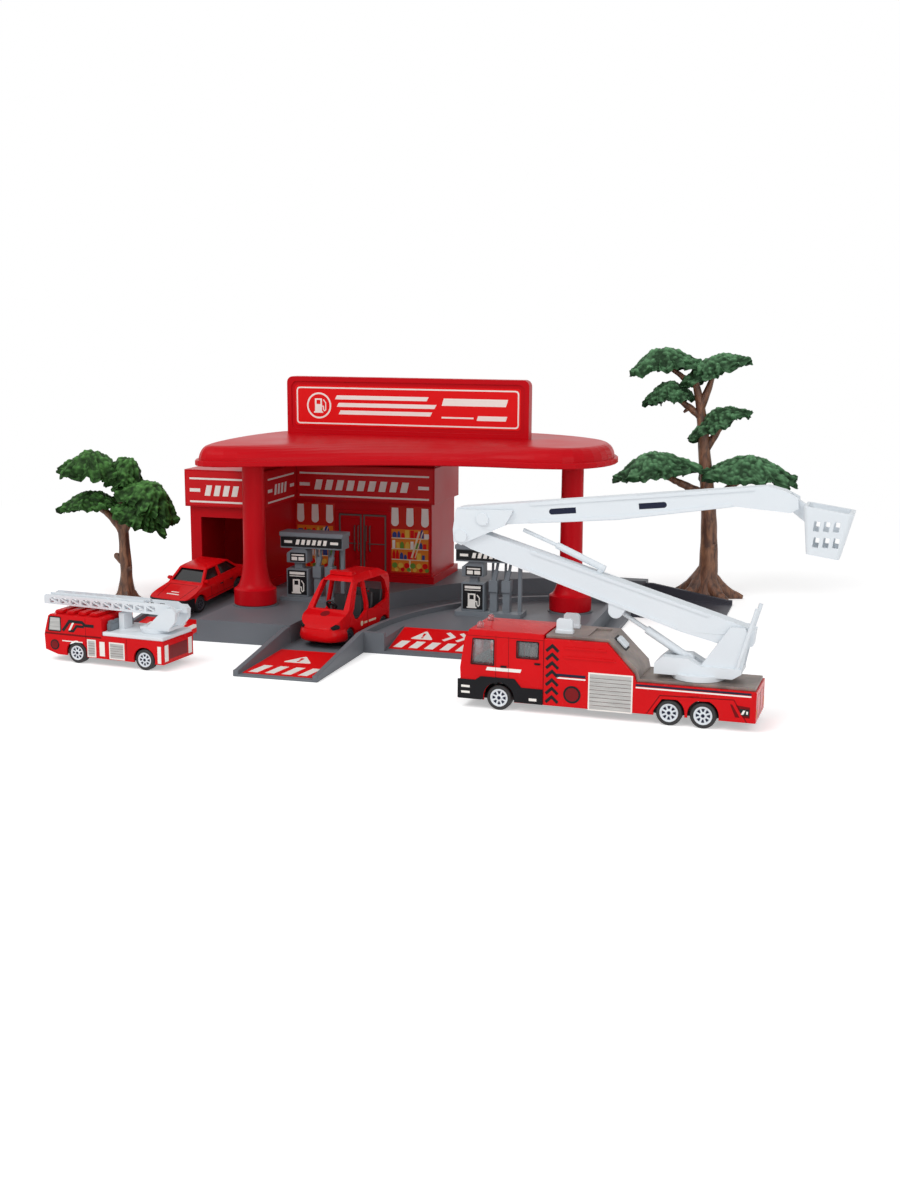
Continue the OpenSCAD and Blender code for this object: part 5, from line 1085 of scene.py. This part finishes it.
def plant(name, tree):
    """One tree: a grooved trunk with roots, stubs and limbs, and its pads of foliage."""
    spot = Matrix.Translation((*tree["spot"], 0))
    trunk = bmesh.new()
    for limb in tree["limbs"]:
        bent(trunk, limb)
    wide, deep = tree["root_reach"]
    top = tree["root_top"]
    # Along a root: share of its reach, height and share of its thickness
    knots = [(0.03, top, 0.12), (0.26, top * 0.46, 0.27), (0.6, top * 0.17, 0.22), (1.0, 1.3, 0.07)]
    for k in range(5):
        a = math.radians(20 + 72 * k)
        reach = Vector((wide * math.cos(a), deep * math.sin(a), 0))
        bent(trunk, [(*(reach * far).xy, h, max(1.3, 1.25 * size * deep)) for far, h, size in knots])
    roughen(trunk, 0.55, 2.8, 0.22)
    for vert in trunk.verts:
        vert.co.z = max(vert.co.z, 0.05)
    bark = piece(f"{name}_trunk_bark", trunk, spot, "station", BARK, angle=60)
    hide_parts(f"{name}_trunk")
    leaves = bmesh.new()
    for seed, (centre, size, lean) in enumerate(tree["pads"], start=1):
        leaf_pad(leaves, centre, size, lean, seed)
    knobble(leaves, 2.0, 2.8)
    crown = piece(f"{name}_leaves", leaves, spot, "station", tree["leaf"], angle=75)
    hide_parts(f"{name}_foliage")


plant("tree_left", LEFT_TREE)
plant("tree_right", RIGHT_TREE)


# Stage


def seen_rays(tree):
    """One for rays that show the background: from the camera, off gloss or through glass."""
    ray = add(tree, "LightPath", {})
    direct = {0: ray["Is Camera Ray"], 1: ray["Is Glossy Ray"]}
    seen = add(tree, "Math", direct, operation="MAXIMUM")["Value"]
    return add(tree, "Math", {0: seen, 1: ray["Is Transmission Ray"]}, operation="MAXIMUM")["Value"]


def set_stage():
    """White floor that keeps the contact shadows, a white sky to the camera, soft lamps and the camera."""
    white = (1, 1, 1, 1)
    paper, tree, shader, spot = new_finish("studio_paper", "base_grey")
    seen = seen_rays(tree)
    glow = add(tree, "Math", {0: seen, 1: 0.4}, operation="MULTIPLY")["Value"]
    fill(tree, shader, {"Base Color": white, "Roughness": 0.9, "Specular IOR Level": 0.1,
                        "Emission Color": white, "Emission Strength": glow})
    far = add(tree, "VectorMath", {0: spot}, operation="LENGTH")["Value"]
    bare = add(tree, "Math", {0: seen, 1: spread(tree, far, 0.4, 0.7)}, operation="MULTIPLY")["Value"]
    blank = add(tree, "Emission", {"Color": white, "Strength": 1.0})
    cover = add(tree, "MixShader", {0: bare, 1: shader.outputs[0], 2: blank[0]})
    fill(tree, tree.nodes["Material Output"], {"Surface": cover[0]})
    floor = bmesh.new()
    plate(floor, rect(-2600, -2200, 2600, 2600), -1.0, -0.02)
    ground = mesh_object("floor", floor, HERE, paper)

    world = bpy.data.worlds.new("studio")
    world.use_nodes = True
    bpy.context.scene.world = world
    sky = world.node_tree
    lit = add(sky, "Background", {"Color": white, "Strength": 0.42})
    shown = add(sky, "Background", {"Color": white, "Strength": 1.0})
    both = add(sky, "MixShader", {0: seen_rays(sky), 1: lit[0], 2: shown[0]})
    fill(sky, sky.nodes["World Output"], {"Surface": both[0]})

    for name, place, aim, size, power in (("key", (-0.5, -0.9, 1.3), (0, 0, 0.03), 0.9, 10.5),
                                          ("fill", (0.9, -1.0, 0.6), (0, 0, 0.05), 1.0, 5)):
        lamp = bpy.data.lights.new(name, "AREA")
        lamp.size = size
        lamp.energy = power
        obj = put(name, lamp)
        obj.location = place
        obj.rotation_euler = (Vector(aim) - Vector(place)).to_track_quat("-Z", "Y").to_euler()

    turn, tilt, roll = (math.radians(angle) for angle in (16, 10.9, 0.3))
    back = Vector((math.sin(turn) * math.cos(tilt), -math.cos(turn) * math.cos(tilt), math.sin(tilt)))
    right = Vector((math.cos(turn), math.sin(turn), 0))
    eye = sheet(Vector((292.3, -862.9, 191.1)) * MM, right, back.cross(right))
    camera = bpy.data.cameras.new("camera")
    camera.lens = 45
    camera.sensor_width = 36
    camera.clip_end = 20
    view = put("camera", camera)
    view.matrix_world = eye @ Matrix.Rotation(roll, 4, "Z")
    bpy.context.scene.camera = view
    bpy.context.scene.view_settings.view_transform = "Standard"


set_stage()
